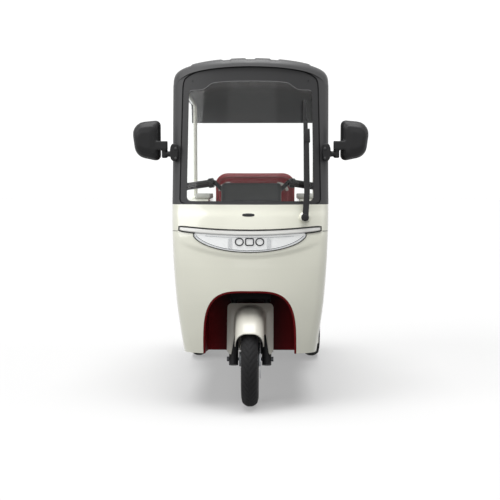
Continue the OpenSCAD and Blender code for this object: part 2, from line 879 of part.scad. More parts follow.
// Corners of a mirror head, columns: distance from the cowl's side, height, radius, first angle,
// last angle
mirror_corners = [
  [84, 143, 25, 180, 86],
  [135, 100, 63, 85, -7],
  [128, 42, 62, -8, -78],
  [84, -4, 26, -79, -180]
];
// Depths of a mirror head, columns: distance ahead of its glass, share of the outline
mirror_depths = [[0, 0.95], [8, 1], [24, 0.98], [42, 0.87], [55, 0.68], [62, 0.4]];
function mirror_loop(s, f) =
  let (
    p = [
      for (c = mirror_corners)
        for (i = [0 : 5])
          let (t = mix(c[3], c[4], i / 5))
          [s * (half_w + mix(145, c[0] + c[2] * cos(t), f)), mirror_z + mix(66, c[1] + c[2] * sin(t), f)]
    ]
  )
  s > 0 ? flip(p) : p;
module mirror_side(s) {
  at_front() {
    translate([0, 0, mirror_z]) {
      difference() {
        block([s > 0 ? half_w - 35 : -half_w - 11, -8, -33], [s > 0 ? half_w + 11 : 35 - half_w, 78, 51]);
        translate([0, 0, -mirror_z]) front_core(mirror_z - 54, mirror_z + 66, 4, gap, 300);
      }
      rod([s * (half_w + 5), mirror_y, 2], [s * (half_w + 39), mirror_y, 2], 13);
      translate([s * (half_w + 39), mirror_y, -18]) cylinder(r = 14, h = 60);
      block(
        [s > 0 ? half_w + 23 : -half_w - 100, mirror_y - 20, 22],
        [s > 0 ? half_w + 100 : -half_w - 23, mirror_y + 4, 65]
      );
    }
    translate([0, mirror_y + 34, 0])
      rotate([90, 0, 0])
        loft([for (m = mirror_depths) mirror_loop(s, m[1])], [for (m = mirror_depths) m[0]], false);
  }
}
module mirrors() {
  color("#1c1d1f")
    for (s = [-1, 1])
      mirror_side(s);
}

// Mirror glasses on the rear faces of the mirror heads
module mirror_glasses() {
  color("#dfe6ea")
    at_front()
      for (s = [-1, 1])
        front_prism(mirror_y + 34 + gap, mirror_y + 37 + gap)
          polygon(mirror_loop(s, 0.9));
}

// Box under the driver's cushion, open below
module driver_seat_box() {
  z1 = driver_z - 105;
  color("#242528")
    at_front()
      difference() {
        block([20 - driver_half, cab(0.207), floor_z + gap], [driver_half - 20, cab(0.86), z1]);
        block([28 - driver_half, cab(0.207) + 8, floor_z - 10], [driver_half - 28, cab(0.86) - 8, z1 - 8]);
      }
}

// Traction battery as one block under the driver's seat
module battery_pack() {
  color("#3a3d42")
    at_front()
      block([45 - driver_half, cab(0.248), floor_z + gap], [driver_half - 45, cab(0.81), driver_z - 140]);
}

// Cushion with a rounded front edge, along X
module cushion(half, y0, y1, z0, z1) {
  r = 42;
  side_prism(-half, half)
    polygon([
      [y1, z0],
      [y1, z1 - 8],
      [y1 - 8, z1],
      for (i = [0 : 8]) let (t = 90 + 90 * i / 8) [y0 + r + r * cos(t), z1 - r + r * sin(t)],
      [y0 + 14, z0]
    ]);
}

// Backrest from its side outline and its rounded front outline
module backrest(half, top_half, y0, y1, lean, z0, z1, r) {
  intersection() {
    side_prism(-half - 10, half + 10)
      polygon([
        [y0, z0], [y1, z0], [y1 + lean, z1 - 15], [y1 + lean - 14, z1 + 1],
        [y0 + lean + 24, z1 + 1], [y0 + lean - 2, z1 - 30]
      ]);
    front_prism(y0 - 50, y1 + lean + 50)
      polygon([
        [-half + 12, z0], [half - 12, z0], [half, z0 + 60], [half, z1 - r],
        for (i = [1 : 7])
          let (t = 90 * i / 7) [mix(half, top_half, 1 - cos(t)), z1 - r + r * sin(t)],
        for (i = [7 : -1 : 1])
          let (t = 90 * i / 7) [-mix(half, top_half, 1 - cos(t)), z1 - r + r * sin(t)],
        [-half, z1 - r], [-half, z0 + 60]
      ]);
  }
}

// Driver's cushion
module driver_cushion() {
  color("#5d1c28")
    at_front() cushion(driver_half, cab(0.145), cab(0.757), driver_z - 105 + gap, driver_z);
}

// Driver's backrest, standing on the seat box behind the cushion
module driver_backrest() {
  color("#5d1c28")
    at_front()
      backrest(
        driver_half + 4, driver_half * 0.69, cab(0.757) + gap, cab(0.853), 46,
        driver_z - 105 + gap, driver_back_z, 70
      );
}

// Box under the passenger bench, open below
module bench_box() {
  x = inner_x - gap;
  color("#e9e5d3")
    at_front()
      difference() {
        block([-x, bench_front, floor_z - floor_t + gap], [x, bench_back, bench_z - 95]);
        block([8 - x, bench_front + 8, floor_z - 80], [x - 8, bench_back - 8, bench_z - 103]);
        block([8 - x, bench_front + 8, floor_z - 80], [x - 8, bench_back + 8, kick_z + gap]);
      }
}

// Passenger cushion
module bench_cushion() {
  color("#5d1c28")
    at_front() cushion(bench_half, bench_front + 5, bench_back - 119, bench_z - 95 + gap, bench_z);
}

// Passenger backrest
module bench_backrest() {
  color("#5d1c28")
    at_front()
      backrest(
        bench_half, bench_half * 0.7, bench_back - 119 + gap, bench_back - 49, 52,
        bench_z - 95 + gap, bench_back_z, 80
      );
}

// Armrest pads on the side bodies
module armrests() {
  color("#9a9c9f")
    at_front()
      for (s = [-1, 1])
        translate([s * (inner_x + 38), wheelbase, side_z])
          side_prism(-32, 32)
            polygon([
              [-410, gap], [-150, gap], [-150, 16], [-166, 32], [-394, 32], [-410, 16]
            ]);
}

// Side outline of the rear side bodies, inset by d, down to a height
function side_outline(d, low) = [
  [side_front + d, low],
  for (i = [0 : 6])
    let (t = 15 * i) [side_front + 75 - (75 - d) * cos(t), side_z - 75 + (75 - d) * sin(t)],
  [bench_back + 5 - d * 0.3, side_z - d],
  [rear_face - 60 - d * 0.6, deck_z + 20 - d * 0.8],
  [rear_face - d, deck_z - 40 - d * 0.5],
  [rear_face - d, low]
];

// Hollow side body over a rear wheel, open below
module side_body(s) {
  x0 = s > 0 ? inner_x : -rear_half;
  x1 = s > 0 ? rear_half : -inner_x;
  color("#e9e5d3")
    at_front()
      difference() {
        side_prism(x0, x1) polygon(side_outline(0, rear_low_z));
        side_prism(x0 + (s > 0 ? 8 : 10), x1 - (s > 0 ? 10 : 8)) polygon(side_outline(10, rear_low_z - 50));
        translate([s > 0 ? rear_half - 60 : -rear_half - 60, wheelbase, axle_h])
          x_cyl(0, 120, rear_arch_r);
      }
}
module side_body_left() {
  side_body(1);
}
module side_body_right() {
  side_body(-1);
}

// Rear panel with the parcel deck and two plate screw holes
module rear_panel() {
  x = inner_x - gap;
  color("#e9e5d3")
    at_front()
      difference() {
        union() {
          block([-x, rear_face - 10, rear_low_z], [x, rear_face, deck_z]);
          block([-x, deck_front, deck_z - 10], [x, rear_face, deck_z]);
          block([-x, deck_front, bench_z - 95 - 40], [x, deck_front + 8, deck_z]);
        }
        for (s = [-1, 1])
          translate([s * plate_pitch / 2, rear_face + 5, deck_z - 160])
            rotate([90, 0, 0]) cylinder(r = plate_hole_r, h = 20);
      }
}

// Tail lamps on the rear faces of the side bodies
module tail_lamps() {
  color("#b3151c")
    at_front()
      for (s = [-1, 1])
        translate([s * (inner_x + rear_half) / 2, 0, 0])
          difference() {
            block([-42, rear_face + gap, deck_z - 300], [42, rear_face + 16, deck_z - 90]);
            for (z = [deck_z - 300, deck_z - 90])
              translate([0, rear_face + 16, z]) rotate([45, 0, 0]) cube([100, 9, 9], center = true);
          }
}

// Rear bumper across the rear faces
module rear_bumper() {
  color("#1d1e20")
    at_front()
      translate([0, 0, rear_low_z])
        side_prism(28 - rear_half, rear_half - 28)
          polygon([
            [rear_face + gap, 15], [tail - 6, 15], [tail, 22], [tail, 78], [tail - 6, 85],
            [rear_face + gap, 85]
          ]);
}

// Rear axle: tube with differential housing, brake plates and stub axles
module rear_axle() {
  plate = track / 2 - rear_tyre_w / 2 - 14;
  color("#2c2e31")
    at_front()
      translate([0, wheelbase, axle_h]) {
        x_cyl(-plate, plate, axle_tube_r);
        x_cyl(-25, 115, diff_r);
        x_cyl(-track / 2 - 34, track / 2 + 34, stub_r);
        for (s = [-1, 1])
          translate([s * plate, 0, 0]) x_cyl(-6, 6, 86);
      }
}

// Drive motor ahead of the differential
module drive_motor() {
  color("#4a4d52")
    at_front()
      translate([45, wheelbase - diff_r - gap, axle_h])
        rotate([90, 0, 0]) {
          cylinder(r = motor_r, h = motor_l);
          translate([0, 0, motor_l - 4]) cylinder(r = motor_r * 0.6, h = 14);
        }
}

// Leaf springs between the axle and the frame, with their hangers
module leaf_springs() {
  span = rear_overhang - 49;
  low = axle_h + axle_tube_r + gap;
  high = kick_z - tube - 18;
  rise = high - low;
  r = (span * span + rise * rise) / (2 * rise);
  a = asin(span / r);
  color("#34363a")
    at_front()
      for (s = [-1, 1])
        translate([s * rail_x - 22, wheelbase, low + r]) {
          rotate([0, 90, 0])
            rotate([0, 0, -a])
              rotate_extrude(angle = 2 * a, $fn = 96)
                polygon([[r - 18, 0], [r, 0], [r, 44], [r - 18, 44]]);
          for (e = [-1, 1])
            translate([0, e * (span - 6), rise - r])
              block([0, -14, -12], [44, 14, 18 - gap]);
        }
}

// Fork: stem, yoke and upper tubes
module fork() {
  color("#1f2023")
    at_steer() {
      for (s = [-1, 1])
        translate([s * leg_x, -fork_offset, leg_top + gap]) cylinder(r = 15, h = yoke_h + 24 - leg_top);
      block([-leg_x - 20, -fork_offset - 20, yoke_h], [leg_x + 20, 26, yoke_h + yoke_t]);
      translate([0, 0, yoke_h]) cylinder(r = stem_r, h = stem_top - yoke_h);
    }
}

// Lower fork legs with the bores of the axle
module fork_legs() {
  color("#1f2023")
    at_steer()
      for (s = [-1, 1])
        difference() {
          translate([s * leg_x, -fork_offset, -30]) cylinder(r = leg_r, h = leg_top + 30);
          translate([0, -fork_offset, 0]) x_cyl(s > 0 ? 40 : -130, s > 0 ? 130 : -40, axle_r + 0.05);
        }
}

// Front axle with its nuts
module front_axle() {
  end = leg_x + leg_r + gap;
  color("#b9bcc0")
    at_steer()
      translate([0, -fork_offset, 0]) {
        x_cyl(-end - 6, end + 6, axle_r);
        for (s = [-1, 1])
          translate([s * (end + 5), 0, 0])
            rotate([0, 90, 0]) cylinder(r = 12, h = 10, center = true, $fn = 6);
      }
}

// Brake caliper over the disc, on a bracket against the left leg
module brake_caliper() {
  color("#55585c")
    at_steer()
      difference() {
        translate([0, -fork_offset, 0])
          rotate([-52, 0, 0])
            difference() {
              union() {
                block([33, -30, disc_r * 0.65], [68, 30, disc_r + 20]);
                block([58, -24, 22], [68, 24, disc_r * 0.7]);
              }
              block([43, -60, -10], [57, 60, disc_r + 6]);
            }
        translate([leg_x, -fork_offset, -60]) cylinder(r = leg_r + gap, h = 300);
      }
}

// Fender: a channel over the tyre and two wings that cover the fork legs
module front_fender() {
  r = tyre_r + fender_gap;
  low = tyre_r - 30;
  top = r + 19;
  round = fender_half - 16;
  y1 = -fork_offset - leg_r - gap;
  color("#d9d7cb")
    at_steer()
      difference() {
        union() {
          translate([0, -fork_offset, 0])
            difference() {
              rotate([0, 90, 0])
                rotate([0, 0, 110])
                  rotate_extrude(angle = 156, $fn = 96)
                    polygon(fender_edge(fender_half, r + 4, low, round));
              rotate([0, 90, 0])
                rotate_extrude($fn = 96)
                  polygon(fender_edge(fender_half - 4, r, low - 30, round - 4));
              side_prism(-100, 100)
                polygon([[-1.6, 1.12], [-0.955, 0.332], [-0.791, 0.131], [-0.594, -0.11], [-1.6, -0.11]] * r);
            }
          difference() {
            front_prism(y1 - 5, y1)
              polygon([
                [-wing_half + 10, 20], [wing_half - 10, 20], [wing_half, 46], [wing_half, top - 24],
                [wing_half - 2, top - 14], [wing_half - 7, top - 6], [wing_half - 15, top - 1],
                [wing_half - 24, top], [24 - wing_half, top], [15 - wing_half, top - 1],
                [7 - wing_half, top - 6], [2 - wing_half, top - 14], [-wing_half, top - 24],
                [-wing_half, 46]
              ]);
            translate([0, -fork_offset, 0])
              rotate([0, 90, 0])
                rotate_extrude($fn = 96)
                  polygon(fender_edge(fender_half - 4, r, 5, round - 4));
          }
          for (s = [-1, 1])
            translate([s * (wing_half - 2), 0, 0])
              block([-2, y1 - 2, 40], [2, 10, top - 36]);
        }
        for (s = [-1, 1])
          translate([s * leg_x, -fork_offset, leg_top - 50]) cylinder(r = 18, h = 200);
      }
}

// Handlebar: two tubes from the sides of the instrument pod
bar_path = [[155.4, 0, stem_top + 95], [192, 5, stem_top + 133], [345, 40, stem_top + 121]];
module handlebar() {
  color("#1b1c1e")
    at_steer()
      for (s = [-1, 1]) {
        p = [for (q = bar_path) [s * q[0], q[1], q[2]]];
        intersection() {
          union() {
            rod(p[0] - (p[1] - p[0]) * 0.3, p[1], bar_r);
            translate(p[1]) sphere(r = bar_r + 1.5);
            rod(p[1], p[2], bar_r);
          }
          block(
            [s > 0 ? 155 + gap : -400, -100, stem_top],
            [s > 0 ? 400 : -155 - gap, 100, stem_top + 205]
          );
        }
      }
}

// Grips, switch housings and brake levers on the handlebar
module hand_controls() {
  color("#111214")
    at_steer()
      for (s = [-1, 1]) {
        a = [s * bar_path[1][0], bar_path[1][1], bar_path[1][2]];
        b = [s * bar_path[2][0], bar_path[2][1], bar_path[2][2]];
        difference() {
          union() {
            rod(mix(a, b, 0.18), mix(a, b, 1.01), 19);
            rod(mix(a, b, 0.04), mix(a, b, 0.2), 25);
            translate([0, 0, stem_top + 115])
              linear_extrude(9)
                polygon([
                  [s * 203, 0], [s * 206, -30], [s * 216, -40], [s * 320, -18], [s * 338, -12],
                  [s * 336, -2], [s * 318, -7], [s * 224, -26], [s * 222, 0]
                ]);
          }
          rod(mix(a, b, -0.2), mix(a, b, 1.2), bar_r + 0.1);
        }
      }
}

// Instrument pod on top of the stem
module instrument_pod() {
  color("#26272a")
    at_steer()
      hull()
        for (x = [-137, 137])
          for (q = [[-42, 18 + gap], [40, 18 + gap], [-30, 101], [40, 81]])
            translate([x, q[0], stem_top + q[1]]) sphere(r = 18, $fn = 24);
}

// Front wheel pieces
module at_front_axle() {
  at_front() translate([0, 0, axle_h]) children();
}
module front_tyre() {
  color("#161616") at_front_axle() tyre(front_tyre_w);
}
module front_rim() {
  color("#a9adb2") at_front_axle() rim(-hub_half, hub_half, axle_r + run_gap);
}
module brake_disc() {
  color("#c6c9cc")
    at_front_axle()
      difference() {
        x_cyl(48, 52, disc_r);
        x_cyl(40, 60, hub_r + 0.2);
        for (i = [0 : 11])
          rotate([30 * i, 0, 0])
            translate([0, 0, mix(hub_r, disc_r, 0.5)]) x_cyl(40, 60, (disc_r - hub_r) / 8);
      }
}

// Rear wheel pieces
module at_rear_axle(s) {
  at_front() translate([s * track / 2, wheelbase, axle_h]) children();
}
module rear_tyre_left() {
  color("#161616") at_rear_axle(1) tyre(rear_tyre_w);
}
module rear_tyre_right() {
  color("#161616") at_rear_axle(-1) tyre(rear_tyre_w);
}
module rear_rim_left() {
  color("#a9adb2") at_rear_axle(1) rim(2 - rear_tyre_w / 2, 38, stub_r + run_gap);
}
module rear_rim_right() {
  color("#a9adb2") at_rear_axle(-1) rim(-38, rear_tyre_w / 2 - 2, stub_r + run_gap);
}

chassis_frame();
floor_pan();
side_sills();
front_apron();
front_cowl();
wheel_arch_liner();
leg_shield();
centre_console();
headlamp_housing();
headlamp_lens();
headlamp_bar();
windscreen_frame();
windscreen_glass();
windscreen_wiper();
roof();
roof_rails();
mirrors();
mirror_glasses();
driver_seat_box();
battery_pack();
driver_cushion();
driver_backrest();
bench_box();
bench_cushion();
bench_backrest();
armrests();
side_body_left();
side_body_right();
rear_panel();
tail_lamps();
rear_bumper();
rear_axle();
drive_motor();
leaf_springs();
fork();
fork_legs();
front_axle();
brake_caliper();
front_fender();
handlebar();
hand_controls();
instrument_pod();
front_tyre();
front_rim();
brake_disc();
rear_tyre_left();
rear_rim_left();
rear_tyre_right();
rear_rim_right();
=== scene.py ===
# %% [markdown]
# # The looks of an electric three-wheeler
# The construction file gives a fixed frame: plain, exact solids that carry the joints and the
# collisions. This script dresses that frame. Each visible piece is either rebuilt with a denser,
# rounder form over the solid it stands for, or taken over with softened edges, and then it is
# tied to the body that it moves with.
#
# Places are given as x, towards the vehicle's left, d, the distance behind the front axle, and z,
# the height, in millimetres, as on a vehicle drawing. One function turns them into the frame's
# metres. The camera stands far in front with a long lens, a little above the middle.

import math

import bmesh
import bpy
import numpy as np
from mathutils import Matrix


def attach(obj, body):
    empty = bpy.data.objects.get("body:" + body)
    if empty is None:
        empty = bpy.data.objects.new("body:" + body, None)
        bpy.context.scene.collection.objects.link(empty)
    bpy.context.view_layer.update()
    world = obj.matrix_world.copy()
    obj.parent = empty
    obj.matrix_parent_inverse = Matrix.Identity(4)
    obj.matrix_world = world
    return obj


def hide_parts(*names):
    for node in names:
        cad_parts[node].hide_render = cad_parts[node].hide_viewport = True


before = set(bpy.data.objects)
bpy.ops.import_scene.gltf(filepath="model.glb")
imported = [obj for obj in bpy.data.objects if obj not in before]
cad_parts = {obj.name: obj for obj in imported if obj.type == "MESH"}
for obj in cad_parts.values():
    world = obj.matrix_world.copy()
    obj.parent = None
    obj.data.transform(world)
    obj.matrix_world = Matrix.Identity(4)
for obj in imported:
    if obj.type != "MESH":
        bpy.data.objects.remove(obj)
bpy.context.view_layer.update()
MM = 0.001
FRONT = -767.0
YAW, PITCH = math.radians(1.2656), math.radians(3.9809)


def shown(name, data):
    obj = bpy.data.objects.new(name, data)
    bpy.context.scene.collection.objects.link(obj)
    return obj


lens = bpy.data.cameras.new("camera")
lens.lens, lens.sensor_width = 72, 36
eye = shown("camera", lens)
eye.location = (0.10747, -5.67212, 1.11593)
eye.rotation_euler = (math.pi / 2 - PITCH, 0, YAW)
bpy.context.scene.camera = eye

# %% [markdown]
# ## Numbers inside node trees
# Colours, roughness and repeats are worked out by node trees. Wiring nodes by hand is hard to
# read, so one small class wraps a socket: sums and products of sockets then look like ordinary
# arithmetic, and every other node comes from its one method.

# %% A value in a node tree
class Value:
    def __init__(self, tree, socket=None):
        self.tree, self.socket = tree, socket

    def make(self, kind, settings, inputs, out=0):
        node = self.tree.nodes.new(kind)
        for name, setting in settings.items():
            setattr(node, name, setting)
        for name, given in inputs.items():
            if isinstance(given, Value):
                self.tree.links.new(given.socket, node.inputs[name])
            else:
                node.inputs[name].default_value = given
        return Value(self.tree, node.outputs[out])

    def maths(self, operation, a, b):
        return self.make("ShaderNodeMath", {"operation": operation}, {0: a, 1: b})

    def __add__(self, other):
        return self.maths("ADD", self, other)

    def __sub__(self, other):
        return self.maths("SUBTRACT", self, other)

    def __rsub__(self, other):
        return self.maths("SUBTRACT", other, self)

    def __mul__(self, other):
        return self.maths("MULTIPLY", self, other)

    __radd__ = __add__
    __rmul__ = __mul__


print("operators:", [name for name in vars(Value) if name.startswith("__r")])

# %% [markdown]
# ## Finishes
# Paint, moulded plastic, rubber and leather are never one flat colour. A finish is a base colour
# that drifts a little from place to place, a roughness that drifts with it and, where the surface
# has a grain, a fine bump. A piece that lies deep in the body can also get painted shade, a
# darkening along an axis, and a lamp's whites can get a painted glow. All of it is taken from
# the piece's own coordinates, not from a picture, so the finish needs no unwrapping and stays
# with the piece when a joint turns.

# %% Make a finish
CLOUD, ROUGH_DRIFT, COAT_ROUGH = 9.0, 0.08, 0.08


def srgb(r, g, b):
    return [((c / 255 + 0.055) / 1.055) ** 2.4 if c > 10 else c / 255 / 12.92 for c in (r, g, b)]


def finish(
    name, colour, rough, metal=0.0, coat=0.0, drift=0.04, bump=0.0, grain=500.0, painted_glow=0.0,
    gloss=0.5, painted_shade=(),
):
    material = bpy.data.materials.new(name)
    material.use_nodes = True
    shader = material.node_tree.nodes["Principled BSDF"]
    link = material.node_tree.links.new
    start = Value(material.node_tree)
    make = start.make
    spot = make("ShaderNodeTexCoord", {}, {}, "Object")
    cloud = make("ShaderNodeTexNoise", {}, {"Vector": spot, "Scale": CLOUD, "Detail": 3.0}, "Fac")
    shade = 1 + (cloud - 0.5) * (2 * drift)
    # painted shade: the colour darkens along an axis, standing in for shade where the body keeps
    # light out
    for axis, low, high, first, last in painted_shade:
        along = make("ShaderNodeSeparateXYZ", {}, {"Vector": spot}, axis)
        ramp = {"Value": start.maths("ABSOLUTE", along, 0.0), "From Min": low, "From Max": high}
        ramp |= {"To Min": first, "To Max": last}
        shade = shade * make("ShaderNodeMapRange", {"interpolation_type": "SMOOTHSTEP"}, ramp)
    scaled = {0: srgb(*colour), "Scale": shade}
    tint = make("ShaderNodeVectorMath", {"operation": "SCALE"}, scaled)
    link(tint.socket, shader.inputs["Base Color"])
    link((rough + (cloud - 0.5) * ROUGH_DRIFT).socket, shader.inputs["Roughness"])
    shader.inputs["Metallic"].default_value = metal
    shader.inputs["Coat Weight"].default_value = coat
    shader.inputs["Specular IOR Level"].default_value = gloss
    shader.inputs["Coat Roughness"].default_value = COAT_ROUGH
    if bump:
        noise = {"Vector": spot, "Scale": grain, "Detail": 2.0}
        fine = make("ShaderNodeTexNoise", {}, noise, "Fac")
        relief = {"Strength": bump, "Distance": 0.001, "Height": fine}
        link(make("ShaderNodeBump", {}, relief).socket, shader.inputs["Normal"])
    # painted glow: emission that stands in for light on a surface that is no lit lamp
    if painted_glow:
        link(tint.socket, shader.inputs["Emission Color"])
        shader.inputs["Emission Strength"].default_value = painted_glow
    return material


print("white is", srgb(255, 255, 255))

# %% [markdown]
# ## Glass
# A windscreen is thin and nearly clear. A refracting shader would bend the view as a thick block
# does, so the pane lets light straight through and adds a reflection that grows towards the edge.

# %% Make a glazing
def glazing(name, tint, mirror):
    material = bpy.data.materials.new(name)
    material.use_nodes = True
    tree = material.node_tree
    tree.nodes.clear()
    make = Value(tree).make
    clear = make("ShaderNodeBsdfTransparent", {}, {"Color": (*tint, 1)})
    shine = make("ShaderNodeBsdfGlossy", {}, {"Color": (1, 1, 1, 1), "Roughness": 0.03})
    edge = make("ShaderNodeLayerWeight", {}, {"Blend": 0.25}, "Fresnel")
    mixed = make("ShaderNodeMixShader", {}, {0: edge * mirror, 1: clear, 2: shine})
    end = tree.nodes.new("ShaderNodeOutputMaterial")
    tree.links.new(mixed.socket, end.inputs["Surface"])
    return material


GLASS = glazing("screen_glass", (0.97, 0.98, 0.975), 0.55)
CLEAR = glazing("lamp_clear", (0.96, 0.965, 0.97), 0.5)
print("glazings:", GLASS.name, CLEAR.name)

# %% [markdown]
# ## The colours of the vehicle
# Cream lacquer outside, grey and black satin round the screen, maroon inside. The lamp is not
# lit, but its whites carry a little painted glow, painted light that keeps them bright white. The
# liner has painted shade: it darkens towards the middle and upwards, where the body keeps the
# light out.

# %% Mix the colours
# painted shade for the liner: darker towards the middle and upwards, where the body keeps the light
# out
ARCH_PAINTED_SHADE = (("X", 0.09, 0.225, 0.2, 1.0), ("Z", 0.40, 0.57, 1.0, 0.3))

CREAM = finish("cream_paint", (230, 230, 215), 0.30, coat=0.9, drift=0.015)
FENDER = finish("fender_paint", (198, 196, 186), 0.36, coat=0.2, drift=0.015)
GREY = finish("grey_satin", (66, 66, 67), 0.50, drift=0.03, bump=0.05, gloss=0.3)
LINING = finish("roof_lining", (106, 107, 109), 0.6, drift=0.03, gloss=0.2)
PRINT = finish("pane_print", (51, 51, 52), 0.45, drift=0.03, gloss=0.25)
# light grey for the bead at the top of the clear opening: a painted highlight along the glass edge
PANE_EDGE_HIGHLIGHT = finish("pane_edge_highlight", (112, 112, 113), 0.4)
SEAM = finish("dark_seam", (20, 20, 21), 0.7, gloss=0.1)
ROOF = finish("roof_satin", (60, 60, 61), 0.45, drift=0.03, bump=0.05, gloss=0.4)
BLACK = finish("black_plastic", (27, 27, 28), 0.46, drift=0.05, bump=0.08, gloss=0.25)
FRAME_BLACK = finish("frame_enamel", (20, 20, 22), 0.5, gloss=0.2)
RUBBER = finish("tyre_rubber", (33, 33, 34), 0.75, drift=0.06, bump=0.25, grain=900, gloss=0.2)
MAROON = finish("maroon_plastic", (106, 10, 17), 0.5, drift=0.05, bump=0.05, gloss=0.12)
LINER = finish("liner_plastic", (126, 13, 20), 0.5, bump=0.05, gloss=0.12, painted_shade=ARCH_PAINTED_SHADE)
LEATHER = finish("maroon_leather", (122, 22, 30), 0.5, drift=0.06, bump=0.3, grain=420, gloss=0.2)
STITCH = finish("seat_channel", (70, 12, 17), 0.7, gloss=0.1)
PIPING = finish("seat_piping", (112, 62, 64), 0.5, gloss=0.2)
PAD = finish("grey_pad", (188, 188, 182), 0.55, bump=0.2)
MAT = finish("floor_rubber", (40, 41, 43), 0.7, bump=0.2)
# lamp whites with painted glow; the lamp is not lit, so this glow is painted light
FIELD = finish("lamp_field", (242, 242, 240), 0.35, drift=0.02, painted_glow=0.38)
BORDER = finish("lamp_border", (182, 184, 186), 0.35, coat=0.4, drift=0.02, painted_glow=0.15)
PALE = finish("lamp_edge", (222, 223, 224), 0.3, coat=0.5, drift=0.02, painted_glow=0.45)
BAR = finish("lamp_bar", (218, 218, 214), 0.30, coat=0.6, drift=0.01, painted_glow=0.08)
TRACE = finish("lamp_trace", (140, 141, 143), 0.4)
DARK_LINE = finish("lamp_outline", (72, 72, 74), 0.5, gloss=0.2)
GASKET = finish("lamp_gasket", (58, 58, 56), 0.7, gloss=0.1)
RED = finish("red_lens", (160, 14, 20), 0.18, coat=0.8)
STEEL = finish("bright_steel", (190, 192, 195), 0.28, metal=1.0, drift=0.03)
ALLOY = finish("rim_alloy", (118, 120, 123), 0.42, metal=0.8, drift=0.04)
DRIVE = finish("drive_casting", (66, 68, 72), 0.55, metal=0.4, bump=0.25)
MIRROR = finish("mirror_silver", (225, 230, 233), 0.04, metal=1.0, drift=0.01)
POD = finish("pod_plastic", (43, 44, 45), 0.5, drift=0.03, bump=0.06, gloss=0.25)
print("finishes:", len(bpy.data.materials))

# %% [markdown]
# ## Closed forms
# A few kinds of closed form are enough for most of the body: a loft through equal rings, a slab
# between two equal grids of points, a prism along d, which also serves as a cutter, and a stepped
# disc for caps and feet. Modelling tools could draw each piece freely, but points worked out from
# named sizes stay true to the frame.

# %% Make the closed forms
def metres(points):
    return [(x * MM, (d + FRONT) * MM, z * MM) for x, d, z in points]


def add(name, points, faces, edges=()):
    mesh = bpy.data.meshes.new(name)
    mesh.from_pydata(metres(points), list(edges), faces)
    mesh.update()
    return shown(name, mesh)


def loft(name, rings):
    n = len(rings[0])
    faces = [
        (k * n + i, k * n + (i + 1) % n, (k + 1) * n + (i + 1) % n, (k + 1) * n + i)
        for k in range(len(rings) - 1)
        for i in range(n)
    ]
    last = (len(rings) - 1) * n
    faces += [tuple(range(n - 1, -1, -1)), tuple(last + i for i in range(n))]
    return add(name, [p for ring in rings for p in ring], faces)


def slab(name, front, back):
    rows, cols = len(front), len(front[0])
    half = rows * cols
    faces = []
    for i in range(rows - 1):
        for j in range(cols - 1):
            a, d = i * cols + j, (i + 1) * cols + j
            b, c = a + 1, d + 1
            faces += [(a, b, c, d), (half + d, half + c, half + b, half + a)]
    rim = list(range(cols)) + [i * cols + cols - 1 for i in range(1, rows)]
    rim += [(rows - 1) * cols + j for j in range(cols - 2, -1, -1)]
    rim += [i * cols for i in range(rows - 2, 0, -1)]
    for a, b in zip(rim, rim[1:] + rim[:1]):
        faces.append((b, a, half + a, half + b))
    return add(name, [p for row in front for p in row] + [p for row in back for p in row], faces)


def prism(name, outline, d0, d1):
    return loft(name, [[(x, d, z) for x, z in outline] for d in (d0, d1)])


def oval(n, a, b, x=0, z=0, bend_a=1, bend_b=1):
    points = []
    for t in np.linspace(0, 2 * math.pi, n + 1)[:-1]:
        c, s = math.cos(t), math.sin(t)
        across = a * math.copysign(abs(c) ** bend_a, c)
        points.append((x + across, z + b * math.copysign(abs(s) ** bend_b, s)))
    return points


def disc(name, centre, along_x, rows, n=40):
    rings = []
    for r, out in rows:
        shifts = [(out, a, b) if along_x else (a, b, out) for a, b in oval(n, r, r)]
        rings.append([tuple(c + s for c, s in zip(centre, shift)) for shift in shifts])
    return loft(name, rings)


print("points of a small oval:", len(oval(12, 4, 4)))

# %% [markdown]
# ## Copies, cuts and soft edges
# Solids that already have the right form are copied, welded and given softened edges, since a
# real edge always catches a thin line of light. Openings are cut with a second shape, as a tool
# would cut them. Rounded mouldings are remeshed evenly and smoothed. Each modifier is applied at
# once, so that a finished piece is a plain mesh.

# %% Make the tools that change a shape
THROUGH = 400


def settle(obj):
    graph = bpy.context.evaluated_depsgraph_get()
    mesh = bpy.data.meshes.new_from_object(obj.evaluated_get(graph))
    obj.modifiers.clear()
    obj.data = mesh
    return obj


def face_out(obj):
    shape = bmesh.new()
    shape.from_mesh(obj.data)
    bmesh.ops.recalc_face_normals(shape, faces=shape.faces)
    shape.to_mesh(obj.data)
    shape.free()
    return obj


def cut_by(obj, tool, how="DIFFERENCE"):
    for piece in (obj, tool):
        face_out(piece)
    step = obj.modifiers.new("carve", "BOOLEAN")
    step.object, step.operation, step.solver = tool, how, "EXACT"
    settle(obj)
    bpy.data.objects.remove(tool)
    return obj


def carve(obj, outline, how="DIFFERENCE", d0=-THROUGH, d1=THROUGH):
    return cut_by(obj, prism("tool", outline, d0, d1), how)


def soft_edges(obj, width, segments=2, angle=50):
    step = obj.modifiers.new("edges", "BEVEL")
    step.width, step.segments = width * MM, segments
    step.limit_method, step.angle_limit = "ANGLE", math.radians(angle)
    return settle(obj)


def even(obj, voxel, passes):
    step = obj.modifiers.new("even", "REMESH")
    step.mode, step.voxel_size = "VOXEL", voxel * MM
    settle(obj)
    step = obj.modifiers.new("round", "SMOOTH")
    step.factor, step.iterations = 0.5, passes
    return settle(obj)


